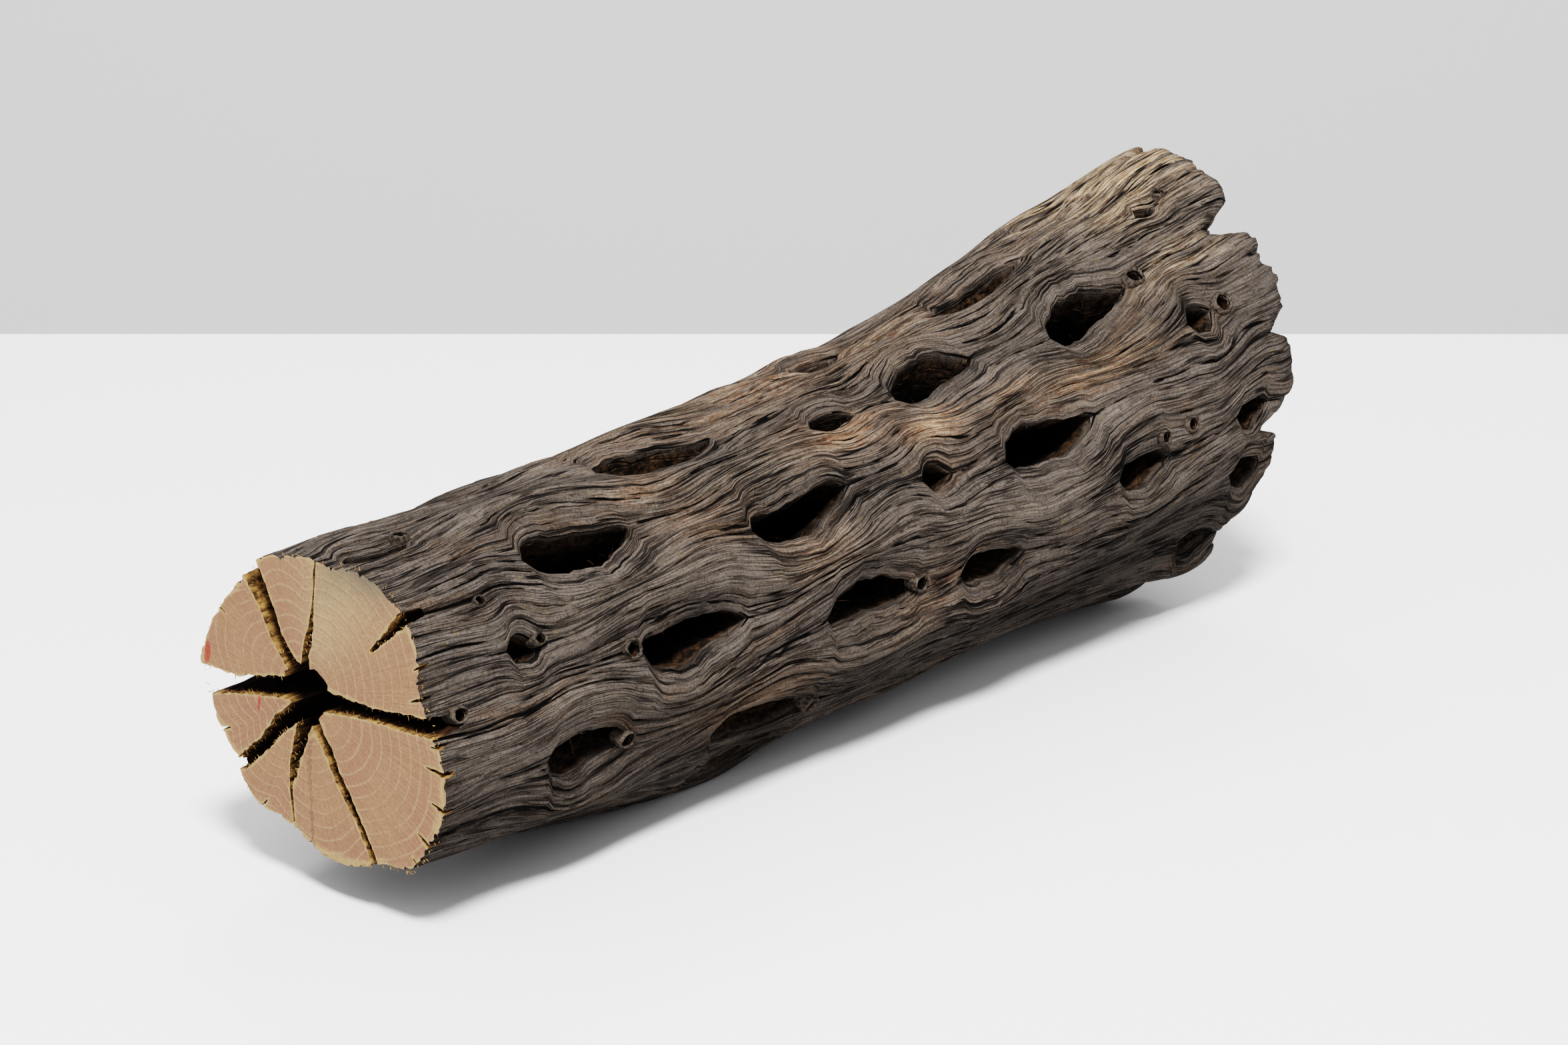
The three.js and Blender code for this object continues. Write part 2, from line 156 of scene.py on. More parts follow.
# Rings of points on the saw cut, as shares of its radius, and the distance between its growth rings.
SAWN_RINGS = (
    0.985, 0.96, 0.92, 0.88, 0.84, 0.79, 0.74, 0.69, 0.64, 0.59, 0.54, 0.49, 0.44, 0.38, 0.32, 0.24, 0.12,
)
GROWTH_RING = 2.35

# Red ink marks on the saw cut: middle aside and above that of the cut, half width and half height, turn.
INK_SPOTS = [((-28.6, 4.4), (0.9, 2.6), 12), ((-16.2, -1.4), (0.35, 1.9), 10)]

# Notches in the broken rim: angle, depth from the rim, width.
NOTCHES = [
    (-15, 9, 5), (30, 10, 6), (46, 2.5, 2.5), (64, 5, 4), (91, 9, 4), (128, 3, 5), (-42, 8, 4), (-66, 12, 6),
    (-96, 9, 5), (-128, 13, 6), (165, 8, 6),
]

# Tubular scars at the ends of the openings: distance from the saw cut, angle, outer radius.
SCARS = [
    (15.8, 3.8, 1.5), (6.2, 77.4, 1.4), (44.2, 75, 1.7), (41.5, 106.7, 1.6), (90.5, 124.5, 1.7),
    (115, 92, 1.7), (194, 30, 2.0), (207, 50.7, 2.2), (189, 78, 1.5), (217.4, 10.1, 1.4),
    (181.5, 78, 1.3), (15, 44, 1.0), (24.8, 61, 1.1),
]
SCAR_SIDES = 18

# Brown stains on the skin: middle along, angle, reach along, reach in degrees, strength.
STAINS = [(192, 45, 16, 9, 0.30), (214, 62, 16, 12, 0.16), (168, 108, 34, 16, 0.14)]

# Patches where the grey skin has gone: middle along, angle, reach along, reach round, strength. The long band
# at 120 mm and -9 degrees, along the top, is a painted highlight.
BARE_PATCHES = [
    (111, 32, 13, 4.5, 1.0), (129, 42, 8, 4, 1.0), (226, -18, 22, 17, 1.6), (212, 2, 14, 9, 0.9),
    (200, -14, 14, 8, 0.8), (120, -9, 50, 9, 0.55), (62, 22, 9, 4, 0.5), (88, 66, 9, 4, 0.45),
    (172, 50, 18, 3.5, 0.75), (150, 44, 10, 3.5, 0.5), (70, 40, 12, 6, 0.35), (100, 30, 10, 5, 0.4),
    (205, 33, 14, 5, 0.6), (74, 112, 16, 6, 0.5), (118, 96, 12, 5, 0.4), (224, 120, 10, 10, 0.6),
    (60, -95, 18, 8, 0.5), (150, -70, 20, 8, 0.6), (195, -120, 24, 10, 0.6), (110, -140, 18, 8, 0.5),
]
YELLOW_FROM, YELLOW_TO = 0.165, 0.205  # metres from the saw cut, where the bare wood turns yellow

# Long open cracks that start at the saw cut: angle, first and last distance from it.
LONG_CRACKS = [(42, -4, 34), (83, 2, 30), (56, -3, 16), (118, 4, 40)]
FINE_CRACKS = 900
WIDE_CRACKS = 170

# Two low swells that the stem rests on: distance from the saw cut and height.
FEET = [(64, 1.0), (198, 1.8)]
FOOT_LENGTH = 19
FOOT_TURN = 24

# Hollow round an opening and the rope beside it, whose place and width are in half widths of the opening.
DIMPLE = 2.1
ROPE = 1.4
ROPE_AT, ROPE_WIDTH = 2.3, 0.95

# Slow unevenness of the whole stem: height, waves round it, length of a wave's twist along it, phase.
LUMPS = [(0.55, 2, 41, 0.7), (0.45, 3, -27, 2.1), (0.35, 5, 19, 4.0)]

# Place and direction of the camera in the stem's own coordinates, and its lens.
CAMERA_AT = (-341.5, -392.7, 239.7)
CAMERA_TOWARDS = (0.7152, 0.6193, -0.3206)
FOCAL_PIXELS = 5200
IMAGE_WIDTH = 2352
SENSOR = 36.0

# Stage in metres: ends of the table from below the camera, half the width, and the wall behind.
TABLE_NEAR, TABLE_FAR, STAGE_HALF = -1.2, 0.858, 3.0
WALL_BEHIND, WALL_LOW, WALL_HIGH = 1.5, -1.5, 2.4

# Light: the sky, and lamps in the row's frame with their name, place, target, width, power and colour.
SKY, SKY_STRENGTH = (238, 239, 242), 0.50
LIGHTS = [
    ("front_key", (-0.46, -0.44, 1.10), (-0.03, 0, 0.03), 0.28, 12.8, (1.0, 0.99, 0.98)),
    ("back_right", (0.70, 0.85, 1.10), (0, 0, 0.03), 0.40, 2.4, (1, 1, 1)),
]
EXPOSURE = 0.66


def seeded(seed):
    state = [seed]

    def draw():
        state[0] = state[0] * 16807 % 2147483647
        return state[0] / 2147483647

    return draw


def wrap(angle):
    return (np.asarray(angle, float) + 180.0) % 360.0 - 180.0


def through(knots, x, column):
    """Value of a column of the knots at x, on a smooth curve through them."""
    k = np.array(knots, float)
    x = np.asarray(x, float)
    i = np.clip(np.searchsorted(k[:, 0], x, side="left") - 1, 0, len(k) - 2)
    before = np.maximum(i - 1, 0)
    after = np.minimum(i + 2, len(k) - 1)
    span = k[i + 1, 0] - k[i, 0]
    t = np.clip((x - k[i, 0]) / span, 0, 1)
    slope_a = (k[i + 1, column] - k[before, column]) / (k[i + 1, 0] - k[before, 0]) * span
    slope_b = (k[after, column] - k[i, column]) / (k[after, 0] - k[i, 0]) * span
    t2, t3 = t * t, t * t * t
    return (
        (2 * t3 - 3 * t2 + 1) * k[i, column]
        + (t3 - 2 * t2 + t) * slope_a
        + (3 * t2 - 2 * t3) * k[i + 1, column]
        + (t3 - t2) * slope_b
    )


def around(knots, angle):
    """The same for knots that go once round the stem."""
    first, last = knots[0], knots[-1]
    closed = [(last[0] - 360, last[1])] + list(knots) + [(first[0] + 360, first[1])]
    turned = np.where(wrap(angle) < closed[0][0], wrap(angle) + 360, wrap(angle))
    turned = np.where(turned > closed[-1][0], turned - 360, turned)
    return through(closed, turned, 1)


def mean_radius(x):
    return through(STATIONS, x, 1)


def middle_height(x):
    return AXIS_HEIGHT + through(STATIONS, x, 2)


def place(x, angle, out, aside=0.0):
    """A point at a distance out from the stem's middle line, and aside from that direction."""
    sine, cosine = np.sin(np.radians(angle)), np.cos(np.radians(angle))
    x, out, aside = np.broadcast_arrays(np.asarray(x, float), out, aside)
    y = -out * sine - aside * cosine
    z = middle_height(x) + out * cosine - aside * sine
    return np.stack([x, y, z], axis=-1)


def outward(x, angle):
    return place(x, angle, 1.0) - place(x, angle, 0.0)


def to_frame(points):
    """Metres in the row's frame, from millimetres in the stem's own coordinates."""
    return (np.asarray(points) + SHIFT) * MM


def spiral_holes():
    random = seeded(20417)

    def varied(size):
        return size * (0.85 + 0.3 * random())

    holes = []
    for n in range(SPIRAL_RANGE[0], SPIRAL_RANGE[1] + 1):
        x = SPIRAL_START[0] + SPIRAL_STEP * n + SPIRAL_WANDER[0] * (random() - 0.5)
        angle = float(wrap(SPIRAL_START[1] + SPIRAL_TURN * n + SPIRAL_WANDER[1] * (random() - 0.5)))
        length, width = varied(SPIRAL_LENGTH), varied(SPIRAL_WIDTH)
        on_front = FRONT_LIMITS[0] < angle < FRONT_LIMITS[1]
        on_rest = abs(float(wrap(angle - 180))) < REST_KEEP_OUT
        if not on_front and not on_rest:
            holes.append((x, angle, length, width, DEEP))
    return holes


HOLES = FRONT_HOLES + spiral_holes()


def swelling(hole, x, angle, radius):
    """Hollow and ropes that one opening makes in the outer surface."""
    middle, turn, length, width, depth = hole
    along = (x - middle) / (length / 2)
    across = np.radians(wrap(angle - turn)) * radius / (width / 2)
    strength = min(1.0, depth / 9)
    dimple = -DIMPLE * np.exp(-along * along / 1.4 - across * across / 2.0)
    beside = (np.abs(across) - ROPE_AT) / ROPE_WIDTH
    rope = ROPE * np.exp(-along * along / 1.7 - beside * beside)
    raised = strength * (dimple + rope) * min(1.0, length / 20)
    return np.where(np.abs(along) > 2.6, 0.0, raised)


def lumps(x, angle):
    turn = np.radians(angle)
    return sum(height * np.sin(waves * turn + x / twist + phase) for height, waves, twist, phase in LUMPS)


def feet(x, angle):
    across = wrap(angle - 180) / FOOT_TURN
    rise = 0.0
    for middle, height in FEET:
        along = (x - middle) / FOOT_LENGTH
        rise = rise + height * np.exp(-along * along - across * across)
    return rise


def outer_radius(x, angle):
    mean = mean_radius(x)
    face = np.exp(-((x / FACE_FADE) ** 2))
    radius = mean + face * (around(FACE, angle) - mean_radius(0)) + (1 - face) * lumps(x, angle)
    for hole in HOLES:
        radius = radius + swelling(hole, x, angle, mean)
    return radius + feet(x, angle)


def radius_at(x, angle):
    """The same at one place, as a plain number."""
    return float(outer_radius(np.array([float(x)]), np.array([float(angle)]))[0])


def value_noise(u, v, cells, seed):
    """Smooth noise from -1 to 1: u goes once round in 0 to 1, v is in cells."""
    rng = np.random.default_rng(seed)
    u = np.mod(u, 1.0) * cells
    low = math.floor(float(np.min(v)))
    v = np.asarray(v, float) - low
    grid = rng.uniform(-1, 1, (int(np.max(v)) + 3, cells))
    iu = np.floor(u).astype(int) % cells
    iv = np.floor(v).astype(int)
    fu, fv = u - np.floor(u), v - iv
    fu, fv = fu * fu * (3 - 2 * fu), fv * fv * (3 - 2 * fv)
    nu = (iu + 1) % cells
    top = grid[iv, iu] * (1 - fu) + grid[iv, nu] * fu
    bottom = grid[iv + 1, iu] * (1 - fu) + grid[iv + 1, nu] * fu
    return top * (1 - fv) + bottom * fv


# Meshes.

def mesh_object(name, points, faces, materials, index=None):
    """A mesh object from points in metres."""
    mesh = bpy.data.meshes.new(name)
    mesh.from_pydata(points, [], faces)
    for material in materials:
        mesh.materials.append(material)
    if index is not None:
        mesh.polygons.foreach_set("material_index", np.asarray(index, np.int32))
    mesh.update()
    made = bpy.data.objects.new(name, mesh)
    bpy.context.scene.collection.objects.link(made)
    return made


def band(first, second):
    """Faces between two rings of points, given by their numbers."""
    return np.stack([first, np.roll(first, -1), np.roll(second, -1), second], -1).tolist()


def fan(ring, middle):
    """Triangles between a ring of points and one in its middle."""
    return np.stack([ring, np.roll(ring, -1), np.full(len(ring), middle)], -1).tolist()


def lid(ring, fold):
    """Faces across a ring of points, in which point k lies opposite point fold - k."""
    faces = []
    for k in range(fold // 2):
        corners = [ring[k], ring[k + 1], ring[fold - k - 1], ring[(fold - k) % len(ring)]]
        faces.append([int(corner) for corner in dict.fromkeys(corners)])
    return faces


def turned_over(faces):
    return [face[:1] + face[:0:-1] for face in faces]


def numbered(count, size, first=0):
    """Numbers of the points of rings that follow each other, a row for each ring."""
    return first + np.arange(count * size).reshape(count, size)


def bands(rings):
    return [face for first, second in zip(rings[:-1], rings[1:]) for face in band(first, second)]


def closed_object(name, points, faces, material):
    """A closed body whose faces are turned outwards."""
    volume = 0.0
    for face in faces:
        for one, two in zip(face[1:-1], face[2:]):
            volume += np.dot(points[face[0]], np.cross(points[one], points[two]))
    if volume < 0:
        faces = [face[::-1] for face in faces]
    return mesh_object(name, to_frame(points).tolist(), faces, [material])


# Materials.

def colour(red, green, blue):
    """A colour given as a screen shows it, 0 to 255."""
    channels = [c / 255 for c in (red, green, blue)]
    linear = [c / 12.92 if c <= 0.04045 else ((c + 0.055) / 1.055) ** 2.4 for c in channels]
    return (*linear, 1.0)


class Graph:
    """A material, with short names for the nodes that it uses."""

    def __init__(self, name):
        self.material = bpy.data.materials.new(name)
        self.material.use_nodes = True
        tree = self.material.node_tree
        self.nodes, self.links = tree.nodes, tree.links
        self.nodes.clear()
        output = self.nodes.new("ShaderNodeOutputMaterial")
        self.shader = self.nodes.new("ShaderNodeBsdfPrincipled")
        self.links.new(self.shader.outputs[0], output.inputs[0])

    def put(self, value, socket):
        if isinstance(value, bpy.types.NodeSocket):
            self.links.new(value, socket)
        else:
            socket.default_value = value

    def fill(self, node, **inputs):
        """Sets a node's inputs by name, an underscore for each space, and returns its first output."""
        for name, value in inputs.items():
            self.put(value, node.inputs[name.replace("_", " ")])
        return node.outputs[0]

    def attribute(self, name, output="Fac"):
        node = self.nodes.new("ShaderNodeAttribute")
        node.attribute_name = name
        return node.outputs[output]

    def coordinates(self):
        return self.nodes.new("ShaderNodeTexCoord").outputs["Object"]

    def axis(self, vector, number):
        node = self.nodes.new("ShaderNodeSeparateXYZ")
        self.put(vector, node.inputs[0])
        return node.outputs[number]

    def noise(self, vector, scale, detail, rough, distortion=0.0):
        node = self.nodes.new("ShaderNodeTexNoise")
        return self.fill(
            node, Vector=vector, Scale=scale, Detail=detail, Roughness=rough, Distortion=distortion)

    def streaks(self, vector, scale, offset, detail, rough, distortion=0.0):
        """Noise with a scale and an offset of its own along each axis."""
        node = self.nodes.new("ShaderNodeMapping")
        stretched = self.fill(node, Vector=vector, Scale=scale, Location=offset)
        return self.noise(stretched, 1.0, detail, rough, distortion)

    def range(self, value, low, high, least=0.0, most=1.0):
        node = self.nodes.new("ShaderNodeMapRange")
        node.interpolation_type = "SMOOTHSTEP"
        return self.fill(node, Value=value, From_Min=low, From_Max=high, To_Min=least, To_Max=most)

    def math(self, kind, a, b=0.0):
        node = self.nodes.new("ShaderNodeMath")
        node.operation = kind
        self.put(a, node.inputs[0])
        self.put(b, node.inputs[1])
        return node.outputs[0]

    def times(self, a, b):
        return self.math("MULTIPLY", a, b)

    def minus(self, a, b):
        return self.math("SUBTRACT", a, b)

    def off_middle(self, value):
        return self.math("ABSOLUTE", self.minus(value, 0.5))

    def total(self, *terms):
        """Sum of values, each times its weight."""
        result = 0.0
        for value, weight in terms:
            result = self.math("ADD", result, self.times(value, weight))
        return result

    def mix(self, factor, a, b, kind="MIX"):
        node = self.nodes.new("ShaderNodeMix")
        node.data_type = "RGBA"
        node.blend_type = kind
        for number, value in ((0, factor), (6, a), (7, b)):
            self.put(value, node.inputs[number])
        return node.outputs[2]

    def tones(self, value, low, high, first, second):
        """From one tone to another as a value goes through a range."""
        return self.mix(self.range(value, low, high), colour(*first), colour(*second))

    def tint(self, base, tone, value, low, high, least=0.0, most=1.0):
        """The base with a tone laid over it, from the least share to the most."""
        return self.mix(self.range(value, low, high, least, most), base, colour(*tone))

    def finish(self, base, roughness, specular, relief, depth, strength=1.0):
        """Gives the shader its colour and relief, and returns the material."""
        bump = self.fill(self.nodes.new("ShaderNodeBump"), Strength=strength, Distance=depth, Height=relief)
        self.fill(
            self.shader, Base_Color=base, Roughness=roughness, Specular_IOR_Level=specular, Normal=bump)
        return self.material


def bark_material():
    """Weathered outside: grey fibres along the grain, warm patches and brown pits, with painted shade in the
    cracks, grooves and pits and a painted highlight on the tops of the ropes.
    """
    g = Graph("weathered_bark")
    grain = g.attribute("grain", "Vector")
    shade, crest, crack, pit, tan = map(g.attribute, ("shade", "crest", "crack", "pit", "tan"))
    here = g.coordinates()
    fibre = g.streaks(grain, (3.6, 0.16, 0.3), (0, 0, 0), 4.0, 0.62)
    strand = g.streaks(grain, (0.9, 0.045, 0.2), (11, 3, 0), 3.0, 0.55)
    patch = g.streaks(grain, (0.10, 0.045, 0.1), (5, 9, 0), 4.0, 0.6)
    warm = g.streaks(grain, (0.17, 0.035, 0.1), (31, 17, 0), 4.0, 0.65)
    fleck = g.streaks(grain, (0.8, 0.4, 0.3), (3, 40, 0), 3.0, 0.6)
    speckle = g.noise(here, 2300.0, 3.0, 0.7)
    grit = g.noise(here, 620.0, 3.0, 0.65)

    base = g.tones(fibre, 0.32, 0.68, (112, 104, 98), (160, 151, 143))
    base = g.tint(base, (66, 59, 54), strand, 0.36, 0.58, 0.30, 0.0)
    base = g.tint(base, (106, 99, 94), patch, 0.40, 0.66, 0.0, 0.45)
    warm_share = g.times(g.range(warm, 0.52, 0.70, 0.0, 0.45), g.range(fibre, 0.25, 0.6, 0.4, 1.0))
    base = g.mix(warm_share, base, colour(134, 104, 76))
    # Painted highlight: the tops of the ropes round the openings are lighter.
    base = g.tint(base, (160, 149, 136), crest, 0.0, 1.0, 0.0, 0.28)
    bare = g.tones(grit, 0.42, 0.60, (168, 112, 70), (206, 170, 140))
    bare = g.tint(bare, (226, 206, 180), fibre, 0.42, 0.62)
    yellow = g.tones(fibre, 0.38, 0.60, (164, 134, 102), (238, 216, 188))
    bare = g.mix(g.range(g.axis(here, 0), LOW.x + YELLOW_FROM, LOW.x + YELLOW_TO), bare, yellow)
    # Bare wood where the skin has gone; the band along the top is a painted highlight.
    base = g.mix(g.times(tan, g.range(strand, 0.36, 0.54, 0.05, 1.0)), base, bare)
    base = g.tint(base, (156, 138, 104), fleck, 0.58, 0.70, 0.0, 0.45)
    base = g.tint(base, (44, 38, 34), speckle, 0.52, 0.70, 0.0, 0.6)
    base = g.tint(base, (196, 188, 178), speckle, 0.46, 0.30, 0.0, 0.3)
    base = g.tint(base, (52, 44, 38), grit, 0.54, 0.72, 0.0, 0.4)

    contour = g.streaks(grain, (0.62, 0.024, 0.2), (60, 80, 0), 2.0, 0.45, 0.15)
    region = g.range(g.noise(here, 42.0, 2.0, 0.5), 0.38, 0.56, 0.45, 1.0)
    hairline = g.times(g.range(g.off_middle(contour), 0.009, 0.030, 1.0, 0.0), region)
    hairline = g.times(hairline, g.range(strand, 0.44, 0.60, 1.0, 0.15))
    thread = g.streaks(grain, (1.5, 0.05, 0.2), (7, 23, 0), 2.0, 0.5, 0.1)
    thread = g.range(g.off_middle(thread), 0.012, 0.045, 1.0, 0.0)
    thread = g.times(thread, g.range(patch, 0.42, 0.56, 0.35, 0.8))
    ragged = g.total((crack, 1.0), (g.minus(fibre, 0.5), 0.6), (g.minus(1.0, region), -0.16))
    crack_and_shade = g.range(ragged, 0.60, 0.76)
    base = g.mix(g.times(thread, 0.85), base, colour(42, 36, 32))
    # Painted shade inside the hairline cracks.
    base = g.mix(g.times(hairline, 0.95), base, colour(20, 16, 13))
    # The shade attribute: painted shade of the grooves, hollows and lower flank, with the brown stains.
    base = g.mix(shade, base, colour(30, 25, 21))
    # Painted shade inside the open cracks: near-black.
    base = g.mix(crack_and_shade, base, colour(13, 10, 8))

    pit_tone = g.tones(grit, 0.38, 0.66, (50, 40, 32), (112, 92, 73))
    # Painted shade: the walls of the openings go near-black with depth.
    pit_tone = g.tint(pit_tone, (13, 10, 8), pit, 0.35, 0.95)
    base = g.mix(g.range(pit, 0.02, 0.2), base, pit_tone)
    base = g.mix(1.0, base, (0.465, 0.455, 0.45, 1.0), "MULTIPLY")
    relief = g.total(
        (fibre, 0.7), (strand, 0.5), (speckle, 0.35), (grit, 0.3), (hairline, -1.1), (thread, -0.6),
        (crack_and_shade, -2.0), (g.times(grit, pit), 2.0),
    )
    return g.finish(base, 0.9, 0.2, relief, 0.00034)


def ink_spot(g, middle, size, turn):
    """Share of a small oval mark on the saw cut."""
    node = g.nodes.new("ShaderNodeMapping")
    node.vector_type = "TEXTURE"
    at = to_frame((0.0, -middle[0], middle_height(0) + middle[1]))
    oval = g.fill(
        node, Vector=g.coordinates(), Location=at.tolist(), Rotation=(math.radians(turn), 0, 0),
        Scale=(0.01, size[0] * MM, size[1] * MM),
    )
    length = g.nodes.new("ShaderNodeVectorMath")
    length.operation = "LENGTH"
    g.put(oval, length.inputs[0])
    return g.range(length.outputs["Value"], 0.6, 1.0, 1.0, 0.0)


def sawn_material():
    """Saw cut: pinkish tan heartwood with pale growth rings, fine rays and a golden edge."""
    g = Graph("sawn_wood")
    rings = g.attribute("rings", "Vector")
    out, edge = g.axis(rings, 0), g.axis(rings, 2)
    here = g.coordinates()
    wobble = g.noise(here, 150.0, 2.0, 0.5)
    wave = g.math("FRACT", g.math("DIVIDE", g.total((out, 1.0), (wobble, 1.3)), GROWTH_RING))
    ring = g.range(g.off_middle(wave), 0.34, 0.49)
    ray = g.streaks(rings, (0.06, 0.9, 0.0), (0, 0, 0), 3.0, 0.6)
    blotch = g.noise(here, 80.0, 3.0, 0.55)
    grit = g.noise(here, 2100.0, 2.0, 0.6)
    base = g.tones(blotch, 0.36, 0.66, (190, 154, 122), (184, 143, 118))
    base = g.tint(base, (170, 130, 104), ray, 0.40, 0.64, 0.0, 0.5)
    base = g.mix(g.times(ring, g.range(blotch, 0.35, 0.6, 0.12, 0.5)), base, colour(208, 182, 148))
    base = g.mix(g.times(g.attribute("pale"), 0.75), base, colour(202, 178, 142))
    base = g.tint(base, (142, 110, 82), grit, 0.35, 0.7, 0.0, 0.3)
    worn = g.total((edge, 1.0), (g.minus(g.noise(here, 420.0, 3.0, 0.7), 0.5), 0.9))
    base = g.tint(base, (206, 180, 136), worn, 0.38, 0.80, 0.0, 0.75)
    base = g.tint(base, (128, 98, 64), worn, 0.95, 1.25, 0.0, 0.6)
    weathered = g.times(g.attribute("weather"), g.range(blotch, 0.3, 0.6, 0.5, 1.0))
    base = g.mix(weathered, base, colour(138, 128, 110))
    red = g.math("MAXIMUM", *[ink_spot(g, *spot) for spot in INK_SPOTS])
    base = g.mix(g.times(red, 0.7), base, colour(196, 74, 66))
    base = g.mix(1.0, base, (0.55, 0.545, 0.56, 1.0), "MULTIPLY")
    relief = g.total((ring, 0.35), (grit, 1.0), (ray, 0.8))
    return g.finish(base, 0.85, 0.25, relief, 0.00016, 0.9)


def inner_material():
    """Walls of the gaps and of the pith: rough fibres, yellow-brown near the saw cut and, further in, dark
    brown painted shade.
    """
    g = Graph("inner_fibres")
    here = g.coordinates()
    fibres = g.streaks(here, (160, 1100, 1100), (0, 0, 0), 4.0, 0.65)
    depth = g.total((g.axis(here, 0), 1.0), (g.noise(here, 300.0, 3.0, 0.6), 0.004))
    # Painted shade: the walls darken from yellow-brown near the saw cut to dark brown deeper in the gaps,
    # slots and pith.
    light = g.range(depth, LOW.x + 0.0020, LOW.x + 0.0052, 1.0, 0.0)
    dark = g.tones(fibres, 0.35, 0.65, (22, 16, 11), (62, 45, 30))
    pale = g.tones(fibres, 0.36, 0.62, (66, 48, 30), (150, 120, 78))
    return g.finish(g.mix(light, dark, pale), 0.92, 0.15, fibres, 0.0006)


def broken_material():
    """Broken end: weathered splinters, grey outside and brown within."""
    g = Graph("broken_wood")
    here = g.coordinates()
    fibres = g.streaks(here, (120, 1100, 1100), (0, 0, 0), 4.0, 0.65)
    base = g.tones(fibres, 0.33, 0.67, (38, 31, 26), (112, 97, 82))
    base = g.tint(base, (82, 77, 72), g.noise(here, 120.0, 3.0, 0.6), 0.40, 0.65, 0.0, 0.6)
    return g.finish(base, 0.92, 0.2, fibres, 0.0007)


def fibre_material(name, low, high, scale=900.0):
    """Loose fibres and scars: one colour with a little variation."""
    g = Graph(name)
    tone = g.noise(g.coordinates(), scale, 3.0, 0.6)
    return g.finish(g.tones(tone, 0.35, 0.65, low, high), 0.9, 0.2, tone, 0.0002, 0.8)


def plain_material(name, tone, roughness):
    g = Graph(name)
    g.fill(g.shader, Base_Color=colour(*tone), Roughness=roughness)
    return g.material


# Outer surface: a grid whose columns follow the grain, parted round each opening.

def column_angles():
    """Angles of the columns, from -180, closer together on the front."""
    fine = np.linspace(-180, 180, 3601)
    rise = 1 / (1 + np.exp(-(fine - FRONT_SPAN[0]) / FRONT_BLEND * 2))
    fall = 1 / (1 + np.exp((fine - FRONT_SPAN[1]) / FRONT_BLEND * 2))
    density = FRONT_DENSITY[1] + (FRONT_DENSITY[0] - FRONT_DENSITY[1]) * rise * fall
    total = np.concatenate([[0], np.cumsum((density[1:] + density[:-1]) / 2)])
    share = np.arange(COLUMNS) / COLUMNS * total[-1]
    return np.interp(share, total, fine)


def lens(t, near=0.46, far=0.62):
    """Half width of an opening along its length: round at the near end, narrower at the far end."""
    t = np.clip(t, -1, 1)
    return (1 + t) ** near * (1 - t) ** far


class Slit:
    """One opening as it lies on the grid."""

    def __init__(self, hole, phi, rows):
        self.x, self.angle, self.length, self.width, self.depth = hole
        self.column = int(np.argmin(np.abs(wrap(phi - self.angle))))
        self.phi = float(phi[self.column])
        self.first = max(int(round((self.x - self.length / 2) / ROW_STEP)), 0)
        self.last = min(int(round((self.x + self.length / 2) / ROW_STEP)), len(rows) - 1)
        self.begin = self.x - self.length / 2 if self.first == 0 else rows[self.first]
        self.end = rows[self.last]
        self.reach = min(14.0, 1.35 * self.width + 3.5)
        draw = seeded(int(1000 + 37 * self.x + 11 * (self.angle + 180)))
        self.near, self.far = 0.36 + 0.24 * draw(), 0.48 + 0.34 * draw()
        self.ragged, self.phase, self.bend = 6.0 + 5.0 * draw(), 6.28 * draw(), 0.5 * draw() - 0.25

    def half_width(self, x):
        t = (x - (self.begin + self.end) / 2) / ((self.end - self.begin) / 2)
        coarse = 0.07 * np.sin(self.ragged * t + self.phase)
        fine = 0.04 * np.sin(2.7 * self.ragged * t - self.phase)
        half = 0.9 * self.width / 2 * lens(t, self.near, self.far) * (1 + coarse + fine)
        return np.where(np.abs(t) < 1, half, 0.0)

    def lean(self, x):
        """How much more the opening widens towards one side than towards the other, along its length."""
        t = (x - self.x) / (self.length / 2)
        return self.bend + 0.22 * np.sin(2.4 * t + self.phase)


def grain_field(rows, phi, slits):
    """Angles of the left and right copies of each grid point, and the distance to the nearest rim."""
    x = rows[:, None]
    turn = np.radians(phi)[None, :]
    radius = mean_radius(x)
    meander = 0.8 * np.sin(x / 9.5 + turn * 5) + 0.6 * np.sin(x / 5.3 - turn * 9)
    left = np.zeros((len(rows), len(phi))) + 0.55 * meander
    right = left.copy()
    rim = np.full(left.shape, 50.0)
    for slit in slits:
        u = np.radians(wrap(phi - slit.phi))[None, :] * radius
        near = np.abs(u) < slit.reach
        half = slit.half_width(x)
        push = half * np.clip(1 - np.abs(u) / slit.reach, 0, 1) ** 2
        along = (x - slit.x) / (slit.length / 2)
        from_slit = u / (slit.reach / 2.6)
        wake = 0.22 * slit.width * from_slit * np.exp(1 - np.abs(from_slit)) * np.exp(-((along / 1.45) ** 4))
        own = (np.arange(len(phi)) == slit.column)[None, :]
        lean = slit.lean(x)
        beside = push * np.sign(u) * (1 + np.sign(u) * lean)
        left += np.where(own, -push * (1 - lean), beside) * near + wake
        right += np.where(own, push * (1 + lean), beside) * near + wake
        beyond = np.maximum(np.abs(x - slit.x) - slit.length / 2, 0)
        aside = np.maximum(np.abs(u) + push - half, 0)
        rim = np.minimum(rim, np.hypot(beyond, aside))
    return phi[None, :] + np.degrees(left / radius), phi[None, :] + np.degrees(right / radius), rim


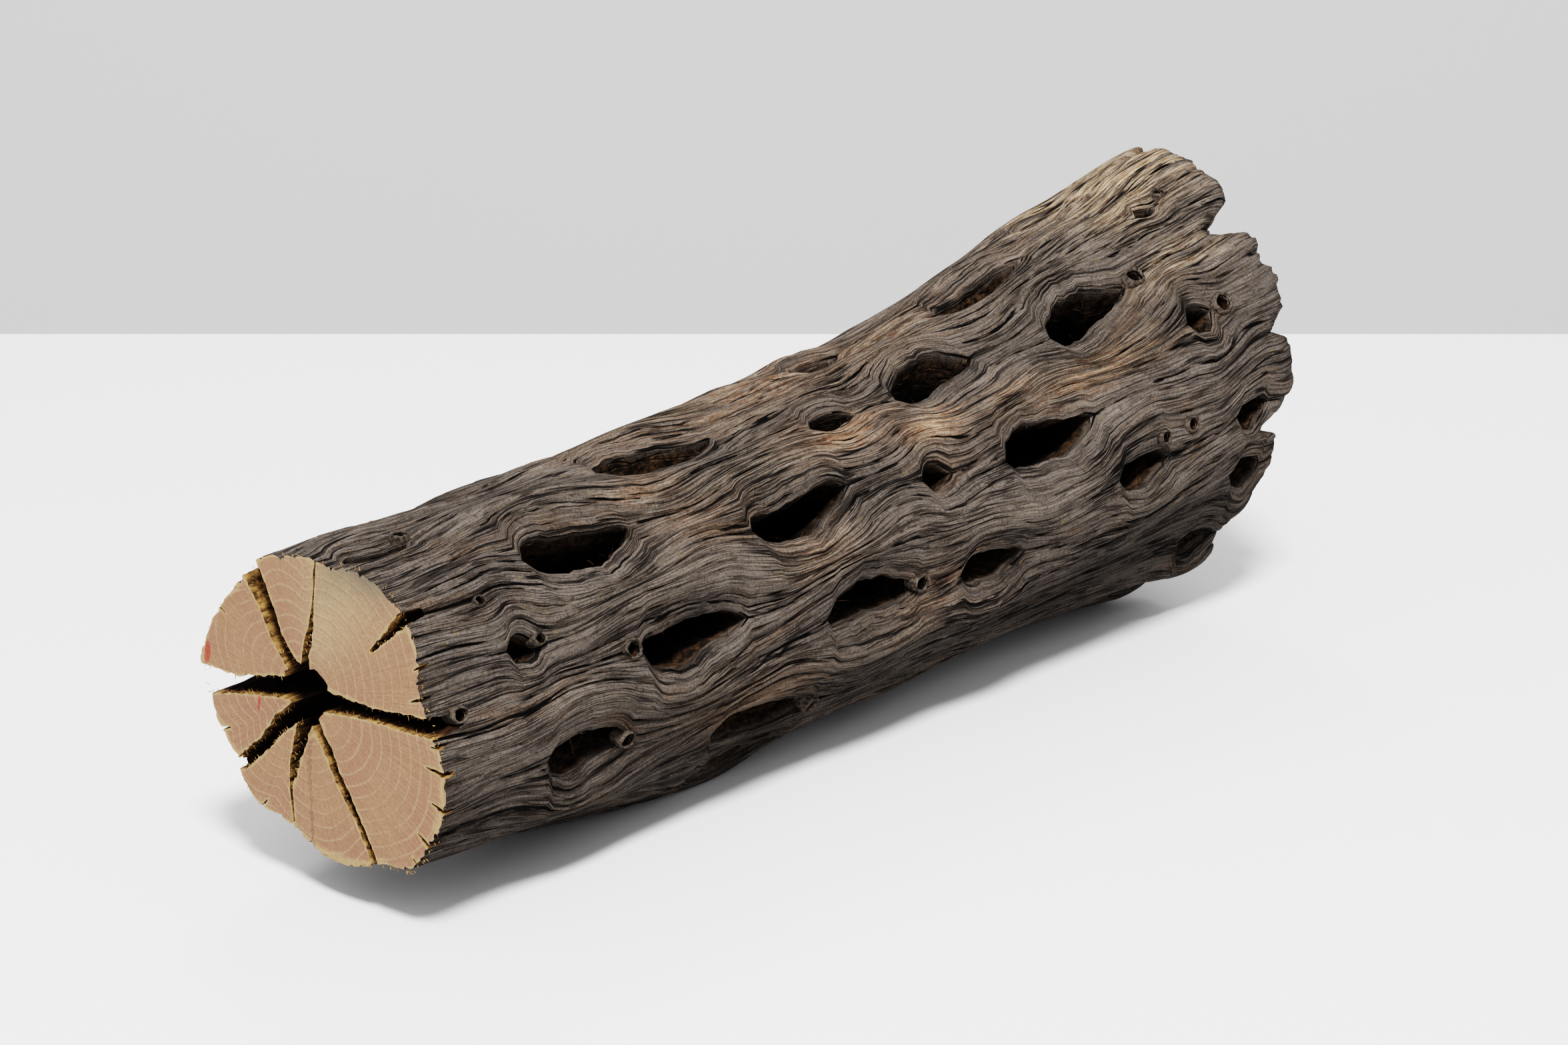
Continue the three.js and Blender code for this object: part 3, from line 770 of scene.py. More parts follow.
def crack_field(rows, phi, slits):
    """Depth share of the cracks. Each runs along the grain and drifts a little across it."""
    rng = np.random.default_rng(11)
    cracks = np.zeros((len(rows), len(phi)))

    def draw_crack(column, first, last, depth, width, drift=0.0):
        for row in range(max(first, 0), min(last, len(rows) - 1) + 1):
            share = (row - first) / max(last - first, 1)
            strength = depth * min(1.0, 3.2 * math.sqrt(max(share * (1 - share), 0.0)))
            at = column + drift * (row - first) + 0.35 * math.sin(row * 0.7 + column)
            low = int(math.floor(at - width)) + 1
            for target in range(low, int(math.ceil(at + width))):
                value = strength * (1 - abs(target - at) / width)
                cell = target % len(phi)
                cracks[row, cell] = max(cracks[row, cell], value)

    def draw_place():
        return int(rng.integers(len(phi))), int(rng.integers(-10, len(rows)))

    for _ in range(FINE_CRACKS):
        column, first = draw_place()
        last = first + int(rng.gamma(2.0, 4.0)) + 4
        draw_crack(column, first, last, rng.uniform(0.5, 0.85), 1.0, rng.normal(0, 0.06))
    for _ in range(WIDE_CRACKS):
        column, first = draw_place()
        last = first + int(rng.uniform(16, 42))
        draw_crack(column, first, last, rng.uniform(0.85, 1.0), 1.15, rng.normal(0, 0.05))
    for slit in slits:
        tail = int(slit.length / ROW_STEP * rng.uniform(0.5, 1.1))
        draw_crack(slit.column, slit.first - tail, slit.first + 3, 0.95, 1.15)
        draw_crack(slit.column, slit.last - 3, slit.last + tail, 0.95, 1.15)
    for angle, first, last in LONG_CRACKS:
        column = int(np.argmin(np.abs(wrap(phi - angle))))
        draw_crack(column, int(first / ROW_STEP), int(last / ROW_STEP), 1.0, 1.7)
    return cracks


def bark_relief(rows, phi, left, rim, cracks):
    """Small relief of the bark, along the grain, and how dark it is painted: painted shade in its grooves and
    on the lower flank, darker towards the broken rim, and brown stains.
    """
    x = np.broadcast_to(rows[:, None], rim.shape)
    u = np.broadcast_to((phi / 360)[None, :], rim.shape)
    fibre = value_noise(u, x / 14, 260, 21)
    strand = value_noise(u, x / 30, 95, 22)
    ropes = value_noise(u, x / 38, 34, 23)
    knobs = value_noise(u, x / 13, 22, 25)
    ridge = 1 - np.abs(value_noise(u, x / 38, 120, 24)) * 2.4
    grooves = np.clip(ridge - 0.55, 0, 1) / 0.45
    calm = np.clip(rim / 2.5, 0.35, 1)
    relief = calm * (0.12 * fibre + 0.26 * strand + 0.60 * ropes + 0.50 * knobs - 0.28 * grooves ** 2)
    relief = relief - 0.8 * cracks * np.clip(rim / 1.5, 0.3, 1)
    relief = relief - 0.5 * np.exp(-rim / 0.7)
    beyond = broken_edge(wrap(left)) - x
    relief = relief - 1.5 * np.exp(-np.clip(beyond, -2, 60) / 1.8)
    relief = relief + 3.0 * np.exp(-((x - 242) / 18) ** 2 - (wrap(left + 10) / 26) ** 2)
    # Painted shade in the grooves, lessened at random along the strands and ropes.
    dark = np.clip(0.22 * grooves ** 2 - 0.12 * strand - 0.10 * ropes, 0, 0.9)
    dark = np.maximum(dark, 0.55 * np.exp(-np.clip(beyond, 0, 60) / 1.6))
    # Painted shade: the lower front flank, which faces down towards the table, is darkened.
    flank_shade = np.clip((wrap(left) - 86) / 30, 0, 1) * np.clip((170 - wrap(left)) / 30, 0, 1)
    stained = 0.0
    for middle, turn, length, width, strength in STAINS:
        along, across = (x - middle) / length, wrap(left - turn) / width
        stained = stained + strength * np.exp(-along ** 2 - across ** 2)
    dark = np.clip(dark + 0.36 * flank_shade + stained, 0, 0.9)
    return relief, dark


def broken_edge(angles):
    """How far along the stem the wood reaches at each angle, with the notches and small lobes."""
    angles = np.asarray(angles, float)
    edge = around(BROKEN, angles)
    for turn, depth, width in NOTCHES:
        across = np.radians(wrap(angles - turn)) * 40
        edge = edge - 0.85 * depth * np.exp(-np.abs(across / (0.52 * width)) ** 2.6)
        edge = edge - 0.25 * depth * np.exp(-((across / (1.6 * width)) ** 2))
    share = np.mod(angles, 360) / 360
    edge = edge + 1.1 * value_noise(share, np.zeros(share.shape), 40, 33)
    return edge + 1.2 + 0.6 * value_noise(share, np.zeros(share.shape), 110, 34)


def bare_field(x, angle):
    """Share of pale pink, orange and yellow wood where the skin has gone, and of a pale band along the top
    that is a painted highlight.
    """
    share = np.zeros(np.shape(x))
    for middle, turn, length, width, strength in BARE_PATCHES:
        along = (x - middle) / length
        across = np.radians(wrap(angle - turn)) * mean_radius(x) / width
        share = np.maximum(share, strength * np.exp(-along ** 2 - across ** 2))
    return np.clip(share, 0, 1)


def grain_at(turn, x, depth=0.0):
    return np.stack(np.broadcast_arrays(turn, x, depth), -1).reshape(-1, 3).astype(float)


class Skin:
    """Points and faces of the closed surface as it grows, with the values that the materials read."""

    def __init__(self):
        self.points, self.faces, self.total = [], [], 0
        self.values = {name: [] for name in ("shade", "pit", "tan", "crack", "crest")}
        self.values["grain"] = []

    def add(self, points, grain=None, **values):
        """Adds points with their values and returns their numbers."""
        count = len(points)
        self.points.append(points)
        for name, parts in self.values.items():
            if name == "grain":
                parts.append(np.zeros((count, 3)) if grain is None else grain)
            else:
                parts.append(np.broadcast_to(values.get(name, 0.0), count).astype(float))
        self.total += count
        return np.arange(self.total - count, self.total)

    def line_pit(self, slit, rim, side, x, angle, radius, grain_turn, rng):
        """Walls and floor of an opening, in layers below the points of its rim."""
        size = len(rim)
        half = size // 2
        centre = float(np.mean(angle))
        turn = np.radians(angle - centre)
        out, aside = radius * np.cos(turn), radius * np.sin(turn)
        middle = (aside[0] + aside[half]) / 2
        level = float(np.min(out))
        deep = slit.depth >= DEEP
        floor = mean_radius(slit.x) - PIT_FLOOR if deep else slit.depth
        ring = rim
        for step, (share, width, length) in enumerate(DEEP_WALL if deep else SHALLOW_WALL):
            depth = floor * share
            noise = rng.normal(0, 1, size)
            noise = (noise + np.roll(noise, 1) + np.roll(noise, -1)) / 3
            blend = min(1.0, (step + 1) / 3)
            layer_out = out * (1 - blend) + level * blend - depth
            layer_aside = middle + (aside - middle) * width + side * 0.35 * noise * min(step, 2) / 2
            layer_x = slit.x + (x - slit.x) * length + 0.3 * noise
            grain = grain_at(grain_turn + side * 2, x, -depth)
            layer = self.add(place(layer_x, centre, layer_out, layer_aside), grain, pit=min(1.0, depth / 8))
            self.faces.extend(band(ring, layer))
            ring = layer
        self.faces.extend(lid(ring, size))

    def close_saw_cut(self, outline):
        """Rings of points from the outline of the saw cut to its middle."""
        centre = np.array([0.0, 0.0, float(middle_height(0))])
        edge = self.points[0][outline]
        ring = outline
        for share in SAWN_RINGS:
            inner = self.add(centre + (edge - centre) * share)
            self.faces.extend(band(inner, ring))
            ring = inner
        self.faces.extend(fan(ring[::-1], self.add(centre[None, :])[0]))


def wood_body(materials):
    """The stem as one closed mesh, before its hollow is cut, with the values that its materials read."""
    rows = np.arange(0, REACH + ROW_STEP, ROW_STEP)
    phi = column_angles()
    slits = [Slit(hole, phi, rows) for hole in HOLES]
    left, right, rim = grain_field(rows, phi, slits)
    cracks = crack_field(rows, phi, slits)
    relief, dark = bark_relief(rows, phi, left, rim, cracks)
    x = np.broadcast_to(rows[:, None], left.shape)
    mean = mean_radius(x)
    raised = sum(swelling(hole, x, left, mean) for hole in HOLES)
    # Painted shade in the hollow round each opening.
    dark = np.clip(dark + 0.25 * np.clip(-raised / 2.0, 0, 1), 0, 0.9)
    radius_left = outer_radius(x, wrap(left)) + relief
    radius_right = outer_radius(x, wrap(right)) + relief
    grain_turn = np.radians(phi) * 30.0

    skin = Skin()
    index_left = skin.add(
        place(x, left, radius_left).reshape(-1, 3), grain_at(grain_turn, x), shade=dark.ravel(),
        tan=bare_field(x, left).ravel(), crack=cracks.ravel(), crest=np.clip(raised / 1.3, 0, 1).ravel(),
    ).reshape(left.shape)
    index_right = index_left.copy()
    for slit in slits:
        inside, column = np.arange(slit.first + 1, slit.last), slit.column
        index_right[inside, column] = skin.add(
            place(rows[inside], right[inside, column], radius_right[inside, column]),
            grain_at(grain_turn[column], rows[inside]),
            shade=dark[inside, column], crack=cracks[inside, column],
        )
    next_left = np.roll(index_left, -1, axis=1)
    cells = np.stack([index_right[:-1], next_left[:-1], next_left[1:], index_right[1:]], -1)
    skin.faces.extend(cells.reshape(-1, 4).tolist())

    rng = np.random.default_rng(5)
    for slit in slits:
        inside, column = np.arange(slit.first + 1, slit.last), slit.column
        loop_rows = np.concatenate([[slit.first], inside, [slit.last], inside[::-1]])
        side = np.concatenate([[0], np.ones(len(inside)), [0], -np.ones(len(inside))])
        loop = [
            np.where(side > 0, of_right[loop_rows, column], of_left[loop_rows, column])
            for of_left, of_right in ((index_left, index_right), (left, right), (radius_left, radius_right))
        ]
        skin.line_pit(slit, loop[0], side, rows[loop_rows], loop[1], loop[2], grain_turn[column], rng)
    before_cut = len(skin.faces)
    skin.close_saw_cut(index_left[0])
    after_cut = len(skin.faces)
    skin.faces.extend(fan(index_left[-1], skin.add(place(rows[-1:], 0.0, 0.0))[0]))

    index = np.zeros(len(skin.faces), int)
    index[before_cut:after_cut] = 1
    points = np.concatenate(skin.points)
    points[:, 2] = np.maximum(points[:, 2], 0.0)
    body = mesh_object("cholla_wood_surface", to_frame(points).tolist(), skin.faces, materials, index)
    return body, {name: np.concatenate(parts) for name, parts in skin.values.items()}


# Cutters: closed bodies taken out of the stem.

def loft(name, rings, material):
    """A closed body through rings of points."""
    numbers = numbered(len(rings), len(rings[0]))
    points = np.concatenate(rings + [[rings[0].mean(0), rings[-1].mean(0)]])
    ends = fan(numbers[0][::-1], numbers.size) + fan(numbers[-1], numbers.size + 1)
    return closed_object(name, points, bands(numbers) + ends, material)


def plug(name, x, angle, layers, material, sides, steps):
    """A radial plug with a lens-shaped outline. A layer is a distance out, and the length and width there."""
    outs, lengths, widths = np.array(layers, float).T
    turn = 2 * np.pi * (np.arange(sides) + 0.5) / sides
    sine = np.sin(turn)
    rings = []
    for out in np.linspace(outs[0], outs[-1], steps):
        length, width = np.interp(out, outs, lengths), np.interp(out, outs, widths)
        aside = sine * (0.7 + 0.3 * np.abs(sine)) * width / 2
        rings.append(place(x + np.cos(turn) * length / 2, angle, out, aside))
    return loft(name, rings, material)


def pith_out(x, angle):
    """Distance of the pith's middle from the stem's middle line, in the direction of an angle."""
    up = AXIS_HEIGHT + float(through(PITH, x, 2)) - float(middle_height(x))
    return up * math.cos(math.radians(angle)) - float(through(PITH, x, 1)) * math.sin(math.radians(angle))


def pith_cutter(material):
    rng = np.random.default_rng(8)
    rings = []
    turn = np.linspace(0, 2 * np.pi, 28, endpoint=False)
    for x in np.linspace(PITH[0][0], PITH[-1][0], 110):
        y, z, radius = [float(through(PITH, x, column)) for column in (1, 2, 3)]
        out = radius * (1 + 0.1 * np.sin(3 * turn + x / 18)) + 0.25 * rng.normal(0, 1, len(turn))
        ring = [np.full(len(turn), x), y + out * np.cos(turn), AXIS_HEIGHT + z + out * np.sin(turn)]
        rings.append(np.stack(ring, -1))
    return loft("pith_cutter", rings, material)


def break_cutter(material):
    """Everything past the broken end: a ragged dish, scalloped by the notches."""
    angles = np.linspace(-180, 180, 340, endpoint=False)
    shares = np.concatenate([[0.12, 0.25, 0.38, 0.5, 0.6, 0.68, 0.75], np.linspace(0.8, 1.12, 9), [1.3, 1.6]])
    u = np.mod(angles, 360) / 360
    edge = broken_edge(angles)
    calm = around(BROKEN, angles)
    rings = []
    for share in shares:
        inner = np.clip((share - 0.3) / 0.35, 0, 1)
        dish = np.interp(share, [0, 0.5, 0.72, 0.88, 1.0, 2.0], [-13, -10, -5.5, -1.6, 0, 1])
        x = calm + (edge - calm) * inner + dish
        x = x + 1.3 * value_noise(u, np.full(len(u), share * 8 + 0.01), 46, 31)
        x = x + 0.8 * value_noise(u, np.full(len(u), share * 15 + 0.01), 120, 32)
        rings.append(place(x, angles, share * mean_radius(x)))
    back = rings[-1].copy()
    back[:, 0] = REACH + 50
    return loft("break_cutter", rings + [back], material)


def resampled(path, step):
    """Points at even steps along a path."""
    path = np.array(path, float)
    along = np.concatenate([[0], np.cumsum(np.hypot(*np.diff(path[:, :2], axis=0).T))])
    at = np.linspace(0, along[-1], max(int(along[-1] / step), 3) + 1)
    return np.stack([np.interp(at, along, path[:, k]) for k in range(path.shape[1])], -1)


def path_sides(path):
    """Left and right edges of a gap on the saw cut, and the directions across it."""
    run = np.gradient(path[:, :2], axis=0)
    run /= np.linalg.norm(run, axis=1)[:, None]
    across = np.stack([-run[:, 1], run[:, 0]], -1)
    half = path[:, 2:3] / 2
    return path[:, :2] + across * half, path[:, :2] - across * half, across


def gap_cutter(name, path, material, seed):
    """A gap that narrows into the stem, with ragged walls."""
    rng = np.random.default_rng(seed)
    path = resampled(path, 0.55)
    count = len(path)
    size = 2 * count
    held = rng.normal(0, 1, size)
    held = (held + np.roll(held, 1)) / 1.4
    depth = np.concatenate([path[:, 3], path[::-1, 3]])
    rings = []
    for share in GAP_SHARES:
        narrow = path.copy()
        narrow[:, 2] *= 1 - 0.5 * max(share, 0) ** 1.5
        left, right, across = path_sides(narrow)
        noise = GAP_ROUGH * (0.8 * held + 0.5 * rng.normal(0, 1, size))
        noise = noise * np.tile(np.clip(path[:, 2] / 1.2, 0.15, 1), 2)
        left = left + across * noise[:count, None]
        right = right + across * noise[count:, None]
        flat = np.concatenate([left, right[::-1]])
        x = np.full(size, -1.0) if share < 0 else share * depth
        if share > 0:
            x = x + 0.25 * rng.normal(0, 1, size)
        rings.append(np.stack([x, -flat[:, 0], middle_height(0) + flat[:, 1]], -1))
    numbers = numbered(len(rings), size)
    ends = turned_over(lid(numbers[0], size - 1)) + lid(numbers[-1], size - 1)
    return closed_object(name, np.concatenate(rings), bands(numbers) + ends, material)


def all_gap_paths():
    """The gaps between the wedges and the short splits of the edge, as paths."""
    paths = [list(path) for path in GAP_PATHS]
    for angle, length, width in EDGE_SPLITS:
        sine, cosine = math.sin(math.radians(angle)), math.cos(math.radians(angle))
        edge = float(around(FACE, angle))
        ends = [(edge + 5, width * 2.2, 3.2), (edge, width, 2.2), (edge - length, 0.16, 0.8)]
        paths.append([(out * sine, out * cosine, wide, deep) for out, wide, deep in ends])
    return paths


def all_cutters(inner, broken):
    cutters = [pith_cutter(inner), break_cutter(broken)]
    for n, (x, angle, length, width, depth) in enumerate(HOLES):
        if depth >= DEEP:
            layers = [
                (pith_out(x, angle), 0.95 * length, 0.28 * width),
                (PIT_FLOOR + 3, 0.8 * length, 0.46 * width),
            ]
            cutters.append(plug(f"slot_{n}", x, angle, layers, inner, 16, 4))
    for n, (x, angle, outer) in enumerate(SCARS):
        surface = radius_at(x, angle)
        layers = [(surface + rise, 1.5 * outer, 1.4 * outer) for rise in (-2.4, 4)]
        cutters.append(plug(f"bore_{n}", x, angle, layers, inner, 12, 2))
    for n, path in enumerate(all_gap_paths()):
        cutters.append(gap_cutter(f"gap_{n}", path, inner, 100 + n))
    return cutters


def cut(body, cutters):
    group = bpy.data.collections.new("cutters")
    bpy.context.scene.collection.children.link(group)
    for cutter in cutters:
        bpy.context.scene.collection.objects.unlink(cutter)
        group.objects.link(cutter)
    modifier = body.modifiers.new("hollow", "BOOLEAN")
    modifier.operation = "DIFFERENCE"
    modifier.operand_type = "COLLECTION"
    modifier.collection = group
    modifier.solver = "MANIFOLD"
    modifier.material_mode = "TRANSFER"
    bpy.context.view_layer.update()
    evaluated = body.evaluated_get(bpy.context.evaluated_depsgraph_get())
    mesh = bpy.data.meshes.new_from_object(evaluated)
    body.modifiers.clear()
    body.data = mesh
    for cutter in cutters:
        bpy.data.objects.remove(cutter)
    bpy.data.collections.remove(group)


def coordinates_of(mesh):
    co = np.empty(len(mesh.vertices) * 3, np.float32)
    mesh.vertices.foreach_get("co", co)
    return co.reshape(-1, 3).astype(float)


def keep_largest(body):
    """Drops loose scraps that the cuts leave behind."""
    mesh = body.data
    edges = np.empty(len(mesh.edges) * 2, np.int32)
    mesh.edges.foreach_get("vertices", edges)
    edges = edges.reshape(-1, 2)
    label = np.arange(len(mesh.vertices))
    while True:
        low = np.minimum(label[edges[:, 0]], label[edges[:, 1]])
        new = label.copy()
        np.minimum.at(new, edges[:, 0], low)
        np.minimum.at(new, edges[:, 1], low)
        new = new[new]
        if np.array_equal(new, label):
            break
        label = new
    names, counts = np.unique(label, return_counts=True)
    if len(names) == 1:
        return
    keep = label == names[np.argmax(counts)]
    work = bmesh.new()
    work.from_mesh(mesh)
    work.verts.ensure_lookup_table()
    bmesh.ops.delete(work, geom=[work.verts[i] for i in np.nonzero(~keep)[0]], context="VERTS")
    work.to_mesh(mesh)
    work.free()


def sawn_values(points):
    """Values that the saw cut's material reads: its rings, and its pale and its weathered part."""
    local = points / MM - SHIFT
    aside, up = -local[:, 1], local[:, 2] - float(middle_height(0))
    hollow_aside, hollow_up = aside + PITH[1][1], up - PITH[1][2]
    out = np.hypot(hollow_aside, hollow_up)
    turn = np.degrees(np.arctan2(hollow_aside, hollow_up))
    bend = np.zeros(len(turn))
    for begin, end in zip(WEDGE_ENDS[:-1], WEDGE_ENDS[1:]):
        across = wrap(turn - (begin + end) / 2) / ((end - begin) / 2)
        bend = np.where(np.abs(across) <= 1, across ** 2, bend)
    rim = outer_radius(np.zeros(len(turn)), np.degrees(np.arctan2(aside, up))) - np.hypot(aside, up)
    rim = np.clip(rim, 0, 50)
    near = rim
    for path in all_gap_paths():
        for point in resampled(path, 0.6):
            wall = np.hypot(aside - point[0], up - point[1]) - point[2] / 2
            near = np.minimum(near, np.clip(wall, 0, 50))
    edge = np.maximum(np.exp(-near / 0.55), np.exp(-rim / 1.5) * np.clip((turn + 20) / 60, 0.4, 1))
    return {
        "rings": np.stack([out * (1 + 0.14 * bend), turn, edge], -1),
        "pale": np.exp(-((wrap(turn - 22) / 26) ** 2)) * np.clip((out - 4) / 5, 0, 1),
        "weather": 0.95 * np.exp(-((wrap(turn - 27) / 17) ** 4) - (rim / 4.6) ** 2),
    }


def write_values(body, original, data):
    """Gives each point of the cut mesh the values of the nearest point before the cut."""
    tree = KDTree(len(original))
    for i, point in enumerate(original):
        tree.insert(point, i)
    tree.balance()
    points = coordinates_of(body.data)
    nearest = np.array([tree.find(point)[1] for point in points])
    carried = {name: values[nearest] for name, values in data.items()}
    for name, values in {**carried, **sawn_values(points)}.items():
        kind, field = ("FLOAT_VECTOR", "vector") if values.ndim == 2 else ("FLOAT", "value")
        attribute = body.data.attributes.new(name, kind, "POINT")
        attribute.data.foreach_set(field, values.astype(np.float32).ravel())


# Loose fibres and scars.

def spikes(name, fibres, material, bends, sides=3):
    """Thin tapering fibres as one mesh. A fibre is its start, direction, length and width."""
    rng = np.random.default_rng(len(fibres))
    points, faces = [], []
    for start, direction, length, width in fibres:
        direction = direction / np.linalg.norm(direction)
        helper = np.array([0.3, 0.9, 0.2]) if abs(direction[0]) > 0.6 else np.array([1.0, 0.1, 0.2])
        one = np.cross(direction, helper)
        one /= np.linalg.norm(one)
        two = np.cross(direction, one)
        curve = rng.normal(0, bends, 2)
        bow = one * curve[0] + two * curve[1]
        rings = numbered(2, sides, len(points))
        for share in (0.0, 0.5):
            middle = start + direction * length * share + bow * length * share ** 2
            radius = width * (1 - 0.4 * share) / 2
            for k in range(sides):
                turn = 2 * math.pi * k / sides
                points.append(middle + (one * math.cos(turn) + two * math.sin(turn)) * radius)
        points.append(start + direction * length + bow * length)
        faces.extend(band(*rings) + fan(rings[1], len(points) - 1) + [rings[0][::-1].tolist()])
    return mesh_object(name, to_frame(points).tolist(), faces, [material])


def saw_splinters(material):
    """Golden fibres left standing by the saw along the gaps and the edge."""
    rng = np.random.default_rng(77)
    fibres = []
    for number, path in enumerate(all_gap_paths()):
        kept = 0.5 if number < len(GAP_PATHS) else 0.35
        path = resampled(path, 0.22)
        left, right, across = path_sides(path)
        for side, sign in ((left, -1), (right, 1)):
            for point, cross, wide in zip(side, across, path[:, 2]):
                angle = math.degrees(math.atan2(point[0], point[1]))
                inside = math.hypot(*point) < float(around(FACE, angle)) - 0.4
                hollow = math.hypot(point[0] + PITH[1][1], point[1] - PITH[1][2]) < PITH[1][3] + 1.2
                if not inside or hollow or rng.random() > kept:
                    continue
                depth = 0.15 + abs(rng.normal(0, 0.9))
                start = np.array([depth, -(point[0] + 0.15 * sign * cross[0]), middle_height(0) + point[1]])
                lean = rng.normal(0, 0.45, 2)
                back = -0.35 * rng.random()
                towards = np.array([back, -sign * cross[0] + lean[0], sign * cross[1] + lean[1]])
                length = min(0.2 + abs(rng.normal(0, 0.4)), 0.4 * wide + 0.2)
                fibres.append((start, towards, length, rng.uniform(0.08, 0.2)))
    for angle in np.arange(-175, 180, 0.55):
        if rng.random() > (0.4 if 20 < angle < 165 else 0.2):
            continue
        start = place(rng.uniform(0.05, 0.5), angle, radius_at(0, angle) - 0.25)
        towards = outward(0, angle) + np.array([-0.4 * rng.random(), *rng.normal(0, 0.4, 2)])
        length = 0.2 + abs(rng.normal(0, 0.4))
        fibres.append((start, towards, length, rng.uniform(0.1, 0.24)))
    return spikes("saw_splinters", fibres, material, 0.15)


def pit_fibres(material):
    """Loose fibres across the openings."""
    rng = np.random.default_rng(91)
    fibres = []
    for x, angle, length, width, depth in HOLES:
        if depth < 9:
            continue
        fuzzy = 1.0 if (x, angle) in FUZZY else 0.35
        for _ in range(int(50 * fuzzy)):
            along = rng.uniform(-0.9, 0.9)
            side = rng.choice([-1, 1])
            half = width / 2 * float(lens(along))
            out = float(mean_radius(x)) - rng.uniform(1.2, 7.5)
            start = place(x + along * length / 2, angle, out, side * (half + 0.2))
            inwards = place(x, angle, 0, -side * 1.0) - place(x, angle, 0, 0)
            towards = np.array([rng.normal(0, 1.0), 0, 0]) + inwards * abs(rng.normal(0, 0.8))
            towards = towards + outward(x, angle) * rng.normal(0.1, 0.35)
            fibres.append((start, towards, rng.uniform(0.8, 3.4), rng.uniform(0.09, 0.2)))
    return spikes("pit_fibres", fibres, material, 0.3)


def surface_height(tree, x, angle, reach):
    """Distance of the surface from the middle line near a place: the third greatest that ten rays find."""
    expected = radius_at(x, angle)
    inward = Vector((-outward(x, angle)).tolist())
    found = [expected - 0.8]
    for k in range(10):
        turn = math.pi * k / 5
        start = place(x + reach * math.cos(turn), angle, expected + 8, reach * math.sin(turn))
        distance = tree.ray_cast(Vector(to_frame(start).tolist()), inward, 12 * MM)[3]
        if distance is not None:
            found.append(expected + 8 - distance / MM)
    return min(sorted(found)[-3:][0], expected + 2.0)


def scar_rings(materials, body):
    """Short tubes left where leaves and joints came away, at the ends of the openings."""
    tree = BVHTree.FromPolygons([v.co for v in body.data.vertices], [p.vertices for p in body.data.polygons])
    rng = np.random.default_rng(55)
    points, faces, index = [], [], []
    for x, angle, outer in SCARS:
        surface = surface_height(tree, x, angle, outer)
        profile = [
            (0.2, -2.2), (outer * 1.05, -2.2), (outer * 1.08, -0.3), (outer, 0.35), (0.92 * outer, 0.6),
            (0.82 * outer, 0.55), (0.74 * outer, 0.2), (0.62 * outer, -1.7), (0.2, -1.9),
        ]
        wobble = 1 + 0.08 * rng.normal(0, 1, SCAR_SIDES)
        wobble = (wobble + np.roll(wobble, 1)) / 2
        rings = numbered(len(profile), SCAR_SIDES, len(points))
        for radius, rise in profile:
            for k in range(SCAR_SIDES):
                turn = 2 * math.pi * k / SCAR_SIDES
                out = surface + rise + 0.04 * rng.normal()
                reach = radius * wobble[k]
                points.append(place(x + 1.15 * reach * math.cos(turn), angle, out, reach * math.sin(turn)))
        faces.extend(turned_over(bands(rings)) + [rings[0].tolist(), rings[-1][::-1].tolist()])
        index.extend([0] * 6 * SCAR_SIDES + [1] * 2 * SCAR_SIDES + [0, 1])  # the last two bands line the bore
    return mesh_object("scar_rings", to_frame(points).tolist(), faces, materials, index)


def shade_smooth(body, angle):
    mesh = body.data
    mesh.polygons.foreach_set("use_smooth", np.ones(len(mesh.polygons), bool))
    mesh.set_sharp_from_angle(angle=math.radians(angle))


def build_wood():
    bark, sawn, inner, broken = bark_material(), sawn_material(), inner_material(), broken_material()
    body, data = wood_body([bark, sawn])
    original = coordinates_of(body.data)
    cut(body, all_cutters(inner, broken))
    keep_largest(body)
    write_values(body, original, data)
    shade_smooth(body, 62)
    golden = fibre_material("golden_fibres", (104, 78, 48), (172, 144, 102))
    brown = fibre_material("brown_fibres", (38, 31, 25), (84, 68, 52))
    scar = fibre_material("scar_wood", (50, 45, 41), (92, 84, 76), 1400.0)
    # The bores of the scars are lined near-black: painted shade.
    bore = fibre_material("scar_bore_shade", (8, 6, 5), (20, 16, 13))
    loose = [saw_splinters(golden), pit_fibres(brown), scar_rings([scar, bore], body)]
    shade_smooth(loose[2], 50)
    return [body] + loose


# Stage.

